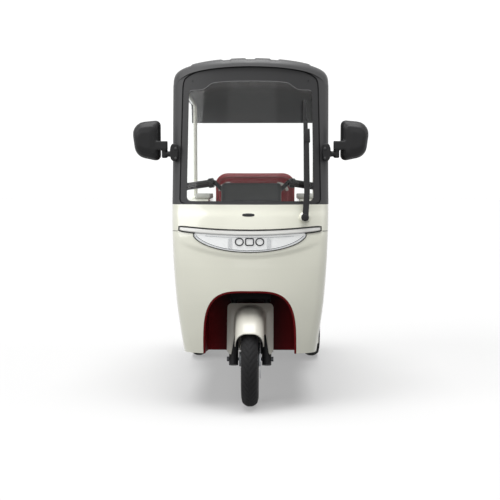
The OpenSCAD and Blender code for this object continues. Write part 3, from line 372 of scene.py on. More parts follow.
def cad(name, node):
    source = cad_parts[node].data
    faces = [p.vertices[:] for p in source.polygons]
    mesh = bpy.data.meshes.new(name)
    mesh.from_pydata([v.co[:] for v in source.vertices], [], faces)
    shape = bmesh.new()
    shape.from_mesh(mesh)
    bmesh.ops.remove_doubles(shape, verts=shape.verts, dist=2e-5)
    flat = math.radians(0.8)
    bmesh.ops.dissolve_limit(shape, angle_limit=flat, verts=shape.verts, edges=shape.edges)
    shape.to_mesh(mesh)
    shape.free()
    return shown(name, mesh)


def merged(name, pieces):
    shape = bmesh.new()
    for piece in pieces:
        shape.from_mesh(piece.data)
        bpy.data.objects.remove(piece)
    mesh = bpy.data.meshes.new(name)
    shape.to_mesh(mesh)
    shape.free()
    return shown(name, mesh)


print("solids to dress:", sorted(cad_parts)[:3], "and so on")

# %% [markdown]
# ## Fitting a piece
# A piece is finished the same way each time: normals outward, one material, smooth faces with
# sharp edges kept, the body it rides on, and the solids it stands for. On bevelled solids the
# normals are weighted by area, which keeps large panels flat.

# %% Fit a piece to a body
def place(obj, body, slot, material, *nodes, angle=38, weigh=False):
    face_out(obj)
    obj.data.materials.clear()
    obj.data.materials.append(material)
    obj.data.polygons.foreach_set("use_smooth", [True] * len(obj.data.polygons))
    obj.data.polygons.foreach_set("material_index", [0] * len(obj.data.polygons))
    obj.data.set_sharp_from_angle(angle=math.radians(angle))
    if weigh:
        step = obj.modifiers.new("weigh", "WEIGHTED_NORMAL")
        step.keep_sharp = True
        settle(obj)
    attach(obj, body)
    if nodes:
        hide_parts(*nodes)
    print(" ", obj.name, len(obj.data.polygons), "faces on", body)
    return obj


def dress(node, body, slot, material, width=1.5, segments=2, angle=50):
    obj = soft_edges(cad(node + "_look", node), width, segments, angle)
    return place(obj, body, slot, material, node, weigh=True)


# %% [markdown]
# ## What repeats or follows a path
# Gaskets, piping and lips are all a round bar along a line. Wall bars, ribs and hatching are one
# small block many times over. Copying each by hand would be slow to change, so node trees do it:
# the numbers go in by name, and the same tree serves every piece.

# %% Build the three trees
FLOAT, COUNT, VECTOR = "NodeSocketFloat", "NodeSocketInt", "NodeSocketVector"
FINISH = ("Material", "NodeSocketMaterial")


def group(name, *sockets):
    tree = bpy.data.node_groups.new(name, "GeometryNodeTree")
    for label, kind in (("Geometry", "NodeSocketGeometry"), *sockets, FINISH):
        tree.interface.new_socket(label, in_out="INPUT", socket_type=kind)
    tree.interface.new_socket("Geometry", in_out="OUTPUT", socket_type="NodeSocketGeometry")
    source = tree.nodes.new("NodeGroupInput")
    return tree, {s.name: Value(tree, s) for s in source.outputs if s.name}


def close(tree, shape, material):
    whole = shape.make("GeometryNodeRealizeInstances", {}, {"Geometry": shape})
    dyed = shape.make("GeometryNodeSetMaterial", {}, {"Geometry": whole, "Material": material})
    end = tree.nodes.new("NodeGroupOutput")
    tree.links.new(dyed.socket, end.inputs["Geometry"])
    return tree


def tube_tree():
    tree, given = group("tube_along_line", ("Radius", FLOAT), ("Sides", COUNT))
    make = given["Geometry"].make
    line = make("GeometryNodeMeshToCurve", {}, {"Mesh": given["Geometry"]})
    round_bar = {"Resolution": given["Sides"], "Radius": given["Radius"]}
    ring = make("GeometryNodeCurvePrimitiveCircle", {}, round_bar)
    swept = {"Curve": line, "Profile Curve": ring, "Fill Caps": True}
    return close(tree, make("GeometryNodeCurveToMesh", {}, swept), given["Material"])


def ring_tree():
    tree, given = group(
        "blocks_round_axle", ("Count", COUNT), ("Radius", FLOAT), ("Size", VECTOR),
        ("Centre", VECTOR), ("Slant", VECTOR),
    )
    make = given["Geometry"].make
    spots = {"Vertices": given["Count"], "Radius": given["Radius"]}
    circle = make("GeometryNodeMeshCircle", {}, spots)
    standing = {"Geometry": circle, "Rotation": (0, math.pi / 2, 0)}
    upright = make("GeometryNodeTransform", {}, standing)
    block = make("GeometryNodeMeshCube", {}, {"Size": given["Size"]})
    slanted = make("GeometryNodeTransform", {}, {"Geometry": block, "Rotation": given["Slant"]})
    outward = {"Vector": make("GeometryNodeInputPosition", {}, {})}
    facing = {"axis": "Z", "pivot_axis": "X"}
    turn = make("FunctionNodeAlignRotationToVector", facing, outward)
    copies = {"Points": upright, "Instance": slanted, "Rotation": turn}
    many = make("GeometryNodeInstanceOnPoints", {}, copies)
    moved = make("GeometryNodeTransform", {}, {"Geometry": many, "Translation": given["Centre"]})
    return close(tree, moved, given["Material"])


def row_tree():
    tree, given = group(
        "row_of_blocks", ("Count", COUNT), ("Start", VECTOR), ("Step", VECTOR), ("Size", VECTOR),
        ("Turn", VECTOR),
    )
    make = given["Geometry"].make
    spots = {"Count": given["Count"], "Start Location": given["Start"], "Offset": given["Step"]}
    line = make("GeometryNodeMeshLine", {}, spots)
    block = make("GeometryNodeMeshCube", {}, {"Size": given["Size"]})
    turned = make("GeometryNodeTransform", {}, {"Geometry": block, "Rotation": given["Turn"]})
    many = make("GeometryNodeInstanceOnPoints", {}, {"Points": line, "Instance": turned})
    return close(tree, many, given["Material"])


TUBE, RING, ROW = tube_tree(), ring_tree(), row_tree()
print("trees:", [t.name for t in bpy.data.node_groups])

# %% [markdown]
# ## Using the trees
# A tree works on an object through a modifier. Its inputs are set by each socket's identifier,
# the result is kept as a plain mesh, and the modifier goes.

# %% Grow tubes and blocks
def grow(obj, tree, **given):
    step = obj.modifiers.new("grow", "NODES")
    step.node_group = tree
    for item in tree.interface.items_tree:
        if item.in_out == "INPUT" and item.name in given:
            step[item.identifier] = given[item.name]
    return settle(obj)


def tube(name, points, radius, material, closed=False, sides=10):
    n = len(points)
    pairs = [(i, i + 1) for i in range(n - 1)] + ([(n - 1, 0)] if closed else [])
    line = add(name, points, [], pairs)
    return grow(line, TUBE, Radius=radius * MM, Sides=sides, Material=material)


def blocks(name, tree, **given):
    return grow(add(name, [(0, 0, 0)], []), tree, **given)


print("inputs of a row:", [s.name for s in ROW.interface.items_tree if s.in_out == "INPUT"])

# %% [markdown]
# ## The surface of the front
# Apron, cowl, windscreen and lamp lie on one bowed surface, as pressed panels of one design do. A
# short table gives, for each height, how much narrower the body is than at its widest and where
# its middle lies, and a smooth curve runs through the table. Seen from above, each level is a
# shallow arc with rounded corners. With that one function, each trim can be laid on the surface
# at any height and any distance out from it.

# %% Describe the front surface
HALF_WIDTH, BOW_R, CORNER_R, SCREEN_LOW = 385, 800, 75, 1000
ROWS = np.array([
    (277, 59, -125), (375, 45, -143), (525, 25, -158), (700, 11, -160), (822, 5, -151),
    (871, 3, -143), (940, 1, -128), (SCREEN_LOW, 0, -111), (1200, 0, -75), (1400, -1.8, -39),
    (1588, -3, -5), (1700, -3, 15),
], float)


def curve(rows, n):
    points = []
    for i in range(len(rows) - 1):
        a, b, c = rows[max(i - 1, 0)], rows[i], rows[i + 1]
        d = rows[min(i + 2, len(rows) - 1)]
        square, cube = 2 * a - 5 * b + 4 * c - d, 3 * b - a - 3 * c + d
        for t in np.arange(n) / n:
            points.append(0.5 * (2 * b + (c - a) * t + square * t**2 + cube * t**3))
    return np.array(points + [rows[-1]])


FINE = curve(ROWS, 4)


def half(h):
    return HALF_WIDTH - float(np.interp(h, FINE[:, 0], FINE[:, 1]))


def bow(h):
    return float(np.interp(h, FINE[:, 0], FINE[:, 2]))


def sweep(x, w, r=BOW_R, c=CORNER_R):
    a = math.asin((w - c) / (r - c))
    if abs(x) <= r * math.sin(a):
        return r - math.sqrt(r * r - x * x)
    k = min(abs(x) - (w - c), c)
    return r - (r - c) * math.cos(a) - math.sqrt(max(c * c - k * k, 0))


def skin(x, h, out=0.0):
    return bow(h) - out + sweep(x, half(h) + out, BOW_R + out, CORNER_R + out)


def on_skin(outline, out):
    return [(x, skin(x, z, out), z) for x, z in outline]


def ease(a, b, x):
    t = min(max((x - a) / (b - a), 0), 1)
    return t * t * (3 - 2 * t)


print("half width at the cowl's top:", half(SCREEN_LOW), "mm, middle at d", bow(SCREEN_LOW))

# %% [markdown]
# ## Shells and patches
# A panel is a thin shell: an outer and an inner outline at each height, joined into one ring, and
# the rings lofted. A trim is a patch: a grid laid on the surface with a second grid behind it.

# %% Lay shells and patches on the surface
ARC_STEPS, CORNER_STEPS, FACE_END = 36, 12, 40


def plan(h, out, back):
    w, b, r, c = half(h) + out, bow(h) - out, BOW_R + out, CORNER_R + out
    a = math.asin((w - c) / (r - c))
    cx, cd = w - c, b + r - (r - c) * math.cos(a)
    right = []
    for t in np.linspace(0, a, ARC_STEPS + 1):
        right.append((r * math.sin(t), b + r - r * math.cos(t)))
    for t in np.linspace(a, math.pi / 2, CORNER_STEPS + 1)[1:]:
        right.append((cx + c * math.sin(t), cd - c * math.cos(t)))
    right += [(w, cd + (back - cd) * f) for f in (0.25, 0.5, 0.75, 1.0)]
    return [(-x, d) for x, d in right[:0:-1]] + right


def shell(name, h0, h1, rows, out, thick, back, lean=0.0, push=None):
    rings = []
    for h in np.linspace(h0, h1, rows + 1):
        end = back + lean * (bow(h) - bow(SCREEN_LOW))
        outer = [(x, d, h) for x, d in plan(h, out, end)]
        if push:
            outer = [(x, d + push(x, h) if d < FACE_END else d, h) for x, d, h in outer]
        inner = [(x, d, h) for x, d in plan(h, out - thick, end)]
        rings.append(outer + inner[::-1])
    return loft(name, rings)


def patch(name, xs, low, high, out, thick, steps=6, edge=1.2):
    front, back = [], []
    for i, x in enumerate(xs):
        zs = np.linspace(low(x), high(x), steps + 1)
        at_end = i in (0, len(xs) - 1)
        sunk = [edge if at_end or k in (0, steps) else 0 for k in range(steps + 1)]
        front.append([(x, skin(x, z, out - s), z) for z, s in zip(zs, sunk)])
        back.append([(x, skin(x, z, out - thick), z) for z in zs])
    return slab(name, front, back)


print("points in one level of a shell:", 2 * len(plan(SCREEN_LOW, 0, 160)))

# %% [markdown]
# ## Outlines on the front
# Lamp, seam, wheel arch and fold are lines on the front. The lit bar follows a shallow arc, the
# lens hangs under it as half an ellipse, and the arch is a rounded square. Each outline takes a
# distance d by which it grows, so an opening and the piece in it come from one line.

# %% Draw the outlines of the front
LAMP_HALF, LAMP_Z, LAMP_RISE, BAR_H = 343, 866, 17, 22
LENS_HALF, LENS_H = 278, 95
LENS_END = LENS_HALF * 0.975
LAMP_ARC = (LAMP_HALF**2 + LAMP_RISE**2) / (2 * LAMP_RISE)
SEAM_Z, WIDE, HIGH = 871, 520, 1200
ARCH_HALF, ARCH_LOW, ARCH_TOP, ARCH_BEND = 226, 277, 589, 2 / 3.6
FOLD_Z, FOLD_RISE, FOLD_HALF, FOLD_DEPTH = 752, 60, 330, 4.2


def lamp_mid(x):
    return LAMP_Z + LAMP_ARC - math.sqrt(LAMP_ARC * LAMP_ARC - x * x)


def bar_half(x):
    return BAR_H / 2 * (1 - 0.3 * (abs(x) / LAMP_HALF) ** 20)


def bar_low(x):
    return lamp_mid(x) - bar_half(x)


def bar_high(x):
    return lamp_mid(x) + bar_half(x)


def lens_low(x):
    return LAMP_Z + 3 - LENS_H * math.sqrt(max(1 - (x / LENS_HALF) ** 2, 0))


def lens_high(x):
    return lamp_mid(x) - BAR_H / 2 - 2


def bar_outline(d, n=60):
    xs = np.linspace(-1, 1, n + 1) * (LAMP_HALF + d)
    return [(x, bar_low(x) - d) for x in xs] + [(x, bar_high(x) + d) for x in xs[::-1]]


def lens_opening(d, n=60):
    xs = np.linspace(-1, 1, n + 1) * LENS_END
    k = 1 + d / LENS_HALF
    return [(x * k, lens_low(x) - d) for x in xs] + [(x * k, lamp_mid(x)) for x in xs[::-1]]


def cowl_outline(d):
    seam = SEAM_Z + d
    left = [(-WIDE, seam), (-LAMP_HALF - 12, seam), (4 - LAMP_HALF, lamp_mid(LAMP_HALF - 4) + d)]
    middle = [(x, lamp_mid(x)) for x in np.linspace(-1, 1, 17)[1:-1] * LAMP_HALF]
    return left + middle + [(-x, z) for x, z in left[::-1]] + [(WIDE, HIGH), (-WIDE, HIGH)]


def arch_outline(d, n=72):
    points = []
    for t in np.linspace(0, math.pi, n + 1):
        c, rise = math.cos(t), max(math.sin(t), 0) ** ARCH_BEND
        across = math.copysign(abs(c) ** ARCH_BEND, c) * (ARCH_HALF + d)
        points.append((across, ARCH_LOW + rise * (ARCH_TOP - ARCH_LOW + d)))
    return points


def fold(x, h):
    below = FOLD_Z + FOLD_RISE * (x / FOLD_HALF) ** 2 - h
    fade = 1 - ease(230, 370, abs(x))
    return FOLD_DEPTH * fade * ease(-11, 11, below) * (1 - ease(30, 230, below))


print("lamp from", round(lens_low(0)), "to", round(bar_high(LAMP_HALF)), "mm")

# %% [markdown]
# ## Apron and cowl
# Both panels are thin moulded shells, so they are made as shells rather than as solid blocks. The
# wheel arch, the seam, the lamp openings and the wiper's hole are then cut through. A shallow fold
# under the lamp gives the soft band of shade that the moulding has there.

# %% Make the apron and the cowl
WALL, PANEL_BACK, JOINT, SEAM_FROM, SEAM_TO = 10, 160, 1.5, 351, 376
PIVOT_X, PIVOT_Z, PIVOT_R = 266, 939, 13.6
SIDES = ((-1, "right"), (1, "left"))

apron = shell("apron_look", ARCH_LOW, 891, 72, 0, WALL, PANEL_BACK, push=fold)
carve(apron, cowl_outline(-0.2))
foot = [(-ARCH_HALF, ARCH_LOW - 60), (ARCH_HALF, ARCH_LOW - 60)]
carve(apron, arch_outline(0) + foot, d1=60)
carve(apron, bar_outline(JOINT), d1=0)
carve(apron, lens_opening(JOINT), d1=0)
place(apron, "chassis", "body_cream", CREAM, "front_apron")

cowl = shell("cowl_look", 858, SCREEN_LOW - 0.4, 20, 0, WALL, PANEL_BACK)
carve(cowl, cowl_outline(0.2), "INTERSECT")
carve(cowl, bar_outline(JOINT), d1=0)
for s, side in SIDES:
    line = on_skin([(s * x, SEAM_Z) for x in np.linspace(SEAM_FROM, SEAM_TO, 9)], -0.2)
    seam = tube("body_seam_" + side, line, 1.3, SEAM, sides=8)
    place(seam, "chassis", "trim_black", SEAM)
carve(cowl, oval(48, PIVOT_R, PIVOT_R, PIVOT_X, PIVOT_Z), d1=0)
place(cowl, "chassis", "body_cream", CREAM, "front_cowl")

# %% [markdown]
# ## Lamp unit
# A lit bar runs along the seam and a crescent hangs under it. Each is a patch on the front
# surface; a dark gasket closes the joint to the paint. A picture of a lamp on a plain plate would
# go flat from the side, so the depth is real: behind the clear lens lies the white field with a
# pale border round its lower edge.

# %% Make the bar, the lens and the field
GASKET_END, JOINT_END = 262, 266


def lamp_tube(name, outline, out, radius, material, slot="lamp_silver", sides=8):
    line = tube(name, on_skin(outline, out), radius, material, sides=sides)
    return place(line, "chassis", slot, material)


xs = np.linspace(-LAMP_HALF, LAMP_HALF, 121)
bar = patch("lamp_bar", xs, bar_low, bar_high, 3, 12, edge=2.5)
place(bar, "chassis", "lamp_white", BAR, "headlamp_bar")
ring = bar_outline(2.0)
low, top = ring[:61], ring[61:]
left = [p for p in low if p[0] < -GASKET_END]
right = [p for p in low if p[0] > GASKET_END]
around = left[::-1] + top[::-1] + right[::-1]
lamp_tube("lamp_bar_gasket", around, 2.2, 3.4, GASKET, "trim_black", 10)
joint = [(x, z + 1.5) for x, z in low if abs(x) <= JOINT_END]
lamp_tube("lamp_bar_joint", joint, 0.8, 1.9, TRACE, "trim_black", 10)

xs = np.linspace(-LENS_END, LENS_END, 101)
clear = patch("lamp_lens", xs, lens_low, lens_high, 0.5, 4, 8)
place(clear, "chassis", "lamp_clear", CLEAR, "headlamp_lens")
ends = [(x, lens_high(x) + 3) for x in (xs[0], xs[-1])]
around = ends[:1] + [(x, lens_low(x)) for x in xs] + ends[1:]
lamp_tube("lamp_lens_gasket", around, 0.6, 2.3, GASKET, "trim_black", 10)


def field_low(x):
    return lens_low(x) + 1.5


def border_high(x):
    return min(lens_low(x) + 8 + 9 * (abs(x) / LENS_END) ** 3, lens_high(x) - 0.5)


xs = np.linspace(-LENS_END + 1, LENS_END - 1, 101)
# field and pale border carry painted glow, strongest on the border, which lies in the shade of the
# bar
field = patch("lamp_field", xs, field_low, lens_high, -9, 5, 8)
place(field, "chassis", "lamp_silver", FIELD, "headlamp_housing")
border = patch("lamp_border", xs, field_low, border_high, -6.5, 2, 3)
place(border, "chassis", "lamp_silver", PALE)

# %% [markdown]
# ## Inside the lens
# Three projectors show as dark rims, two round and one square, with a hatched column to each
# side. The rims are bars along a line, and the hatching is a row of blocks.

# %% Make the lines, the projector rims and the hatching
RIM_X, RIM_Z, RIM_HALF, RIM_BAR, HATCH_X = 49, 823, 19, 3.2, 93

lamp_tube("lamp_border_line", [(x, border_high(x)) for x in xs[2:-2]], -5.6, 1.5, TRACE)
line = [(x, lens_high(x) - 10) for x in np.linspace(-215, 215, 61)]
lamp_tube("lamp_top_line", line, -7.6, 1.3, BORDER)
outlines = [oval(40, RIM_HALF, 17, x, RIM_Z) for x in (-RIM_X, RIM_X)]
outlines.append(oval(48, RIM_HALF, 16.5, 0, RIM_Z, 0.4, 0.4))
rims = [tube("rim", on_skin(outline, -6), RIM_BAR, DARK_LINE, True) for outline in outlines]
place(merged("lamp_projectors", rims), "chassis", "lamp_silver", DARK_LINE)
hatch = []
for s, side in SIDES:
    start = (s * HATCH_X * MM, (skin(HATCH_X, 830, -7) + FRONT) * MM, 0.838)
    hatch.append(blocks(
        "hatch", ROW, Count=10, Start=start, Step=(0, -0.0004, -0.0052),
        Size=(0.022, 0.003, 0.0016), Turn=(0, s * 0.12, 0), Material=BORDER,
    ))
place(merged("lamp_hatch", hatch), "chassis", "lamp_silver", BORDER)

# %% [markdown]
# ## Outlines of the windscreen
# The screen's upper edge follows the roof's front band, which is arched across and drops at its
# ends. The clear opening is smaller than the pane, because the pane has a printed dark border.

# %% Draw the outlines of the windscreen
EAVE, CROWN_RISE, ROOF_HALF, BAND = 1588.4, 120, 388, 39
PANE_HALF, PANE_LOW, PANE_TAPER = 343, 1005, 9
OPEN_LOW, OPEN_HIGH, OPEN_HALF, OPEN_TOP = 1016, 1540, 307, 302
LOW_R, HIGH_R, BUMP_HALF, BUMP_RISE = 22, 17, 250, 40
SIDE_TOP, BAND_HALF, OVER = 1588, 374, 1900


def crown(u):
    return EAVE + CROWN_RISE * max(1 - u * u, 0) ** 0.28


def band_drop(u):
    return BAND * (1 + 0.8 * abs(u) ** 10)


def band_low(x):
    return max(crown(x / ROOF_HALF) - band_drop(x / ROOF_HALF), EAVE)


def both_sides(right, top):
    return right + top + [(-x, z) for x, z in right[::-1]]


def pane_outline(d):
    w, low = PANE_HALF - d, PANE_LOW + d
    w_top = PANE_HALF - PANE_TAPER - d
    right = [(w - 20, low), (w - 6, low + 6), (w, low + 20), (w_top, 1568), (w_top - 3, 1596)]
    top = []
    for f in np.linspace(0.97, -0.97, 61):
        drop = 1.2 + d + 14 * abs(f / 0.97) ** 10
        top.append((f * w_top, band_low(f * w_top) - drop))
    return both_sides(right, top)


def clear_outline():
    right = []
    for t in np.linspace(-math.pi / 2, 0, 9):
        right.append((OPEN_HALF + LOW_R * (math.cos(t) - 1), OPEN_LOW + LOW_R * (1 + math.sin(t))))
    for t in np.linspace(0, math.pi / 2, 7):
        right.append((OPEN_TOP + HIGH_R * (math.cos(t) - 1), OPEN_HIGH + HIGH_R * math.sin(t)))
    top = []
    for x in np.linspace(BUMP_HALF, -BUMP_HALF, 41):
        f = x / BUMP_HALF
        rise = 0.5 * (1 - f**2) + 0.5 * ease(0, 0.3, 1 - abs(f))
        top.append((x, OPEN_HIGH + HIGH_R + BUMP_RISE * ease(0, 1, rise)))
    return both_sides(right, top)


def under_roof():
    xs = np.linspace(-BAND_HALF, BAND_HALF, 113)
    follow = [(x, max(band_low(x) - 0.8, SIDE_TOP)) for x in xs]
    left, right = [(-WIDE, SIDE_TOP), (-BAND_HALF, SIDE_TOP)], [(BAND_HALF, SIDE_TOP)]
    return left + follow + right + [(WIDE, SIDE_TOP), (WIDE, OVER), (-WIDE, OVER)]


print("screen", round(band_low(0) - PANE_LOW), "mm high in the middle")

# %% [markdown]
# ## Windscreen
# The dark surround is one moulded frame, and the pane sits in it. Surround, pane and print are
# cut from three shells on the same surface, so that they stay parallel. The print could be a
# colour on the glass, but as a thin sheet it keeps a clean edge from any side.

# %% Make the surround and the pane
surround = shell("surround_look", SCREEN_LOW, 1648, 54, 0, 30, 64, 1.0)
carve(surround, pane_outline(-0.4))
carve(surround, under_roof())
above = [(-WIDE, SIDE_TOP), (WIDE, SIDE_TOP), (WIDE, OVER), (-WIDE, OVER)]
carve(surround, above, d0=110)
place(surround, "chassis", "trim_black", GREY, "windscreen_frame")

pane = shell("pane_look", SCREEN_LOW, 1690, 40, -3, 5, 9, 1.0)
carve(pane, pane_outline(0), "INTERSECT")
place(pane, "chassis", "screen_glass", GLASS, "windscreen_glass")

border = shell("pane_border", SCREEN_LOW, 1690, 40, -1.2, 1.4, 9, 1.0)
carve(border, pane_outline(0.6), "INTERSECT")
carve(border, clear_outline())
place(border, "chassis", "trim_black", PRINT)
rubber = tube("pane_seam", on_skin(pane_outline(0), -0.4), 2.8, SEAM, True, 8)
place(rubber, "chassis", "trim_black", SEAM)
# a bead along the top of the clear opening; its light grey is a painted highlight on the glass edge
edge_highlight = on_skin([(x, z) for x, z in clear_outline() if z > 1550], -1.2)
place(tube("pane_edge_highlight", edge_highlight, 1.7, PANE_EDGE_HIGHLIGHT, False, 8), "chassis", "trim_black", PANE_EDGE_HIGHLIGHT)

# %% [markdown]
# ## Wiper and small parts
# The wiper stands parked upright on the vehicle's left, on a moulded collar with a capped pivot.
# Its solid is thin, so the copy is swollen by a hair to read as rubber. Two screws hold the pane,
# and a plain blank plaque sits in the middle of the cowl.

# %% Make the wiper, the screws and the plaque
SCREW_X, SCREW_Z, SCREW_R = 284, 1603, 4

screws = []
for x in (-SCREW_X, SCREW_X):
    ring = oval(12, SCREW_R, SCREW_R, x, SCREW_Z)
    screws.append(loft("screw", [on_skin(ring, out) for out in (-2, 0.8)]))
place(merged("pane_screws", screws), "chassis", "trim_black", BLACK)

steps = ((27, -4), (27, 3), (24, 8), (18, 11), (PIVOT_R, 11), (PIVOT_R, -4))
collar = [on_skin(oval(48, r, r, PIVOT_X, PIVOT_Z), out) for r, out in steps]
place(loft("wiper_collar", collar), "chassis", "body_cream", CREAM)
cap = []
for r, out in ((19, 11.4), (19, 18), (16, 24), (9, 28)):
    d = skin(PIVOT_X, PIVOT_Z, out)
    cap.append([(x, d, z) for x, z in oval(32, r, r, PIVOT_X, PIVOT_Z)])
place(loft("wiper_cap", cap), "chassis", "trim_black", BLACK)
wiper = soft_edges(cad("windscreen_wiper_look", "windscreen_wiper"), 3, 3, 40)
step = wiper.modifiers.new("weight", "DISPLACE")
step.strength, step.mid_level = 1.8 * MM, 0.0
place(settle(wiper), "chassis", "trim_black", BLACK, "windscreen_wiper")

PLAQUE_X, PLAQUE_Z, PLAQUE_HALF, PLAQUE_H = -6, 951, 29, 7.5


def plaque_half(x):
    return PLAQUE_H * (1 - 0.5 * abs((x - PLAQUE_X) / PLAQUE_HALF) ** 3)


def plaque_low(x):
    return PLAQUE_Z - plaque_half(x)


def plaque_high(x):
    return PLAQUE_Z + plaque_half(x)


xs = np.linspace(PLAQUE_X - PLAQUE_HALF, PLAQUE_X + PLAQUE_HALF, 25)
plaque = patch("blank_plaque", xs, plaque_low, plaque_high, 1.8, 1.7, 4, 1.0)
place(plaque, "chassis", "trim_black", BLACK)

# %% [markdown]
# ## Roof
# The roof is a vacuum-formed sheet: a crown, raised panels that stiffen it, a turned-down front
# band and a deep drop at the rear. A block with a hollow would lose the thin edge, so it is made
# as two surfaces a fixed thickness apart, on the same table of sections as the solid, with many
# more points across so that the panels blend in. A paler lining lies just under it.

# %% Make the roof
ROOF_L, ROOF_D, LIP, PANEL_H, FLARE, ROOF_WALL = 1417, -2, 1475, 5, 10, 12
# Each section: how far back and how far below the crown, outside and inside, and the panels' share.
SECTIONS = [
    (0, BAND, 20, BAND, 0), (7, 20, 23, 28, 0), (18, 8, 30, 20, 0.4), (40, 0, 46, 12, 1),
    (70, 0, 70, 12, 1), (ROOF_L * 0.3, 0, ROOF_L * 0.3, 12, 1),
    (ROOF_L * 0.6, 0, ROOF_L * 0.6, 12, 1), (ROOF_L - 120, 0, ROOF_L - 120, 12, 1),
    (ROOF_L - 75, 1, ROOF_L - 78, 13, 0), (ROOF_L - 42, 9, ROOF_L - 48, 21, 0),
    (ROOF_L - 16, 30, ROOF_L - 28, 36, 0), (ROOF_L - 4, 62, ROOF_L - 16, 64, 0),
    (ROOF_L, 200, ROOF_L - 12, 200, 0),
]
STEPS = (3, 2, 2, 3, 6, 6, 6, 3, 2, 2, 3, 4)
LAST = len(SECTIONS) - 1


def panel(u):
    u = abs(u)
    first = ease(0.05, 0.07, u) - ease(0.241, 0.261, u)
    return first + ease(0.347, 0.367, u) - ease(0.744, 0.764, u)


def roof_point(k, u, inner, sink):
    y, drop = SECTIONS[k][2 * inner], SECTIONS[k][2 * inner + 1]
    f = y / ROOF_L
    w = ROOF_HALF + FLARE * f - ROOF_WALL * inner - sink
    top = crown(u) + PANEL_H * panel(u) * SECTIONS[k][4]
    low = EAVE if k < 4 else EAVE - SECTIONS[k][1]
    z = LIP if k == LAST else max(top - (drop if k else band_drop(u)), low)
    if 0 < k < LAST:
        z -= sink
    y += sink if k < 3 else -sink if k > 7 else 0
    return np.array((u * w, ROOF_D + y + sweep(u * w, w) * (1 - f), z))


def roof_grid(inner, sink=0.0):
    us = np.sin(np.linspace(-1, 1, 181) * math.pi / 2)
    grid = [[roof_point(k, u, inner, sink) for u in us] for k in range(len(SECTIONS))]
    rows = []
    for k, n in enumerate(STEPS):
        for t in np.arange(n) / n:
            rows.append([tuple(a + (b - a) * t) for a, b in zip(grid[k], grid[k + 1])])
    return rows + [[tuple(p) for p in grid[-1]]]


sheet = slab("roof_look", roof_grid(0), roof_grid(1))
place(sheet, "chassis", "roof_grey", ROOF, "roof", angle=50)
lining = slab("roof_lining", roof_grid(1, 0.6), roof_grid(1, 2.2))
place(lining, "chassis", "roof_grey", LINING, angle=50)

# %% [markdown]
# ## Roof rails
# Two bent tubes carry the roof at the rear. A tube that is bent in a former is a round bar along a
# line with an arc in it, and that is how it is made here. Each post stands on a welded foot.

# %% Bend the rails and set their feet
RAIL_X, RAIL_D, RAIL_Z, RAIL_R, BEND_R = 342.5, 142, 1582, 12, 60
POST_X, POST_D, SIDE_Z = 371, 1353, 1005

rails = []
for s, side in SIDES:
    path = [(d, RAIL_Z) for d in (RAIL_D, *np.linspace(160, 1250, 12))]
    for t in np.linspace(0, math.pi / 2, 13):
        path.append((POST_D + BEND_R * (math.sin(t) - 1), RAIL_Z + BEND_R * (math.cos(t) - 1)))
    path += [(POST_D, z) for z in np.linspace(1480, SIDE_Z + 0.4, 8)]
    line = []
    for d, z in path:
        share = (d - RAIL_D) / (POST_D - RAIL_D)
        line.append((s * (RAIL_X + (POST_X - RAIL_X) * share), d, z))
    rails.append(tube("rail", line, RAIL_R, CREAM, False, 24))
place(merged("roof_rails_look", rails), "chassis", "rail_cream", CREAM, "roof_rails")

steps = ((25, 0.3), (25, 4), (23, 6), (15, 9), (12.6, 16))
feet = [disc("foot", (s * POST_X, POST_D, SIDE_Z), False, steps) for s, side in SIDES]
place(merged("rail_feet", feet), "chassis", "rail_cream", CREAM, angle=30)

# %% [markdown]
# ## Mirrors
# A mirror head is a moulded cup with every edge rounded. Remeshing the solid evenly and smoothing
# it rounds the head, its stalk and the bracket in one go, as a real moulding would be. The blocky
# bracket is then drawn in to an oval, and two bolts hold it.

# %% Make the mirrors
BRACKET_X, BRACKET_Z, BRACKET_HALF, BRACKET_END = 371, 1253, 44, 399
BOLT_X, BOLT_R, BOLT_IN, BOLT_OUT = 364, 7, -4, -13

mirrors = even(cad("mirrors_look", "mirrors"), 3.2, 6)
for v in mirrors.data.vertices:
    x, t = abs(v.co.x) / MM, (v.co.z / MM - BRACKET_Z) / BRACKET_HALF
    if x < BRACKET_END and abs(t) < 1.05:
        width = 0.88 * max(1 - abs(t) ** 2.4, 0.02) ** 0.42
        v.co.x = math.copysign(BRACKET_X + (x - BRACKET_X) * width, v.co.x) * MM
place(mirrors, "chassis", "trim_black", BLACK, "mirrors", angle=60)
dress("mirror_glasses", "chassis", "mirror_face", MIRROR, 0.8)
bolts = []
for s, side in SIDES:
    for z in (BRACKET_Z - 29, BRACKET_Z + 19):
        bolts.append(prism("bolt", oval(6, BOLT_R, BOLT_R, s * BOLT_X, z), BOLT_IN, BOLT_OUT))
bolts = soft_edges(merged("mirror_bolts", bolts), 1.5)
place(bolts, "chassis", "bright_steel", GREY)

# %% [markdown]
# ## Under the arch and in the cab
# The arch liner is a tunnel of maroon plastic with a rolled lip along the arch. Behind it stand
# the leg shield and the console. Their solids have the right form and only get soft edges. The
# floor carries a mat, and its ribs are a row of blocks to each side.

# %% Make the liner, the shield, the console and the floor
dress("wheel_arch_liner", "chassis", "inner_maroon", LINER, 1.0)
lip = tube("arch_lip", on_skin(arch_outline(-4), -7), 6, MAROON, False, 12)
place(lip, "chassis", "inner_maroon", MAROON)
dress("leg_shield", "chassis", "inner_maroon", MAROON)
dress("centre_console", "chassis", "inner_maroon", MAROON, 2.5, 3)
dress("floor_pan", "chassis", "floor_black", MAT, 1.0)
dress("side_sills", "chassis", "body_cream", CREAM, 4, 3)
ribs = []
for s, side in SIDES:
    ribs.append(blocks(
        "rib", ROW, Count=22, Start=(s * 0.245, (390 + FRONT) * MM, 0.3435), Step=(0, 0.024, 0),
        Size=(0.15, 0.010, 0.003), Turn=(0, 0, 0), Material=MAT,
    ))
place(merged("floor_mat_ribs", ribs), "chassis", "floor_black", MAT)

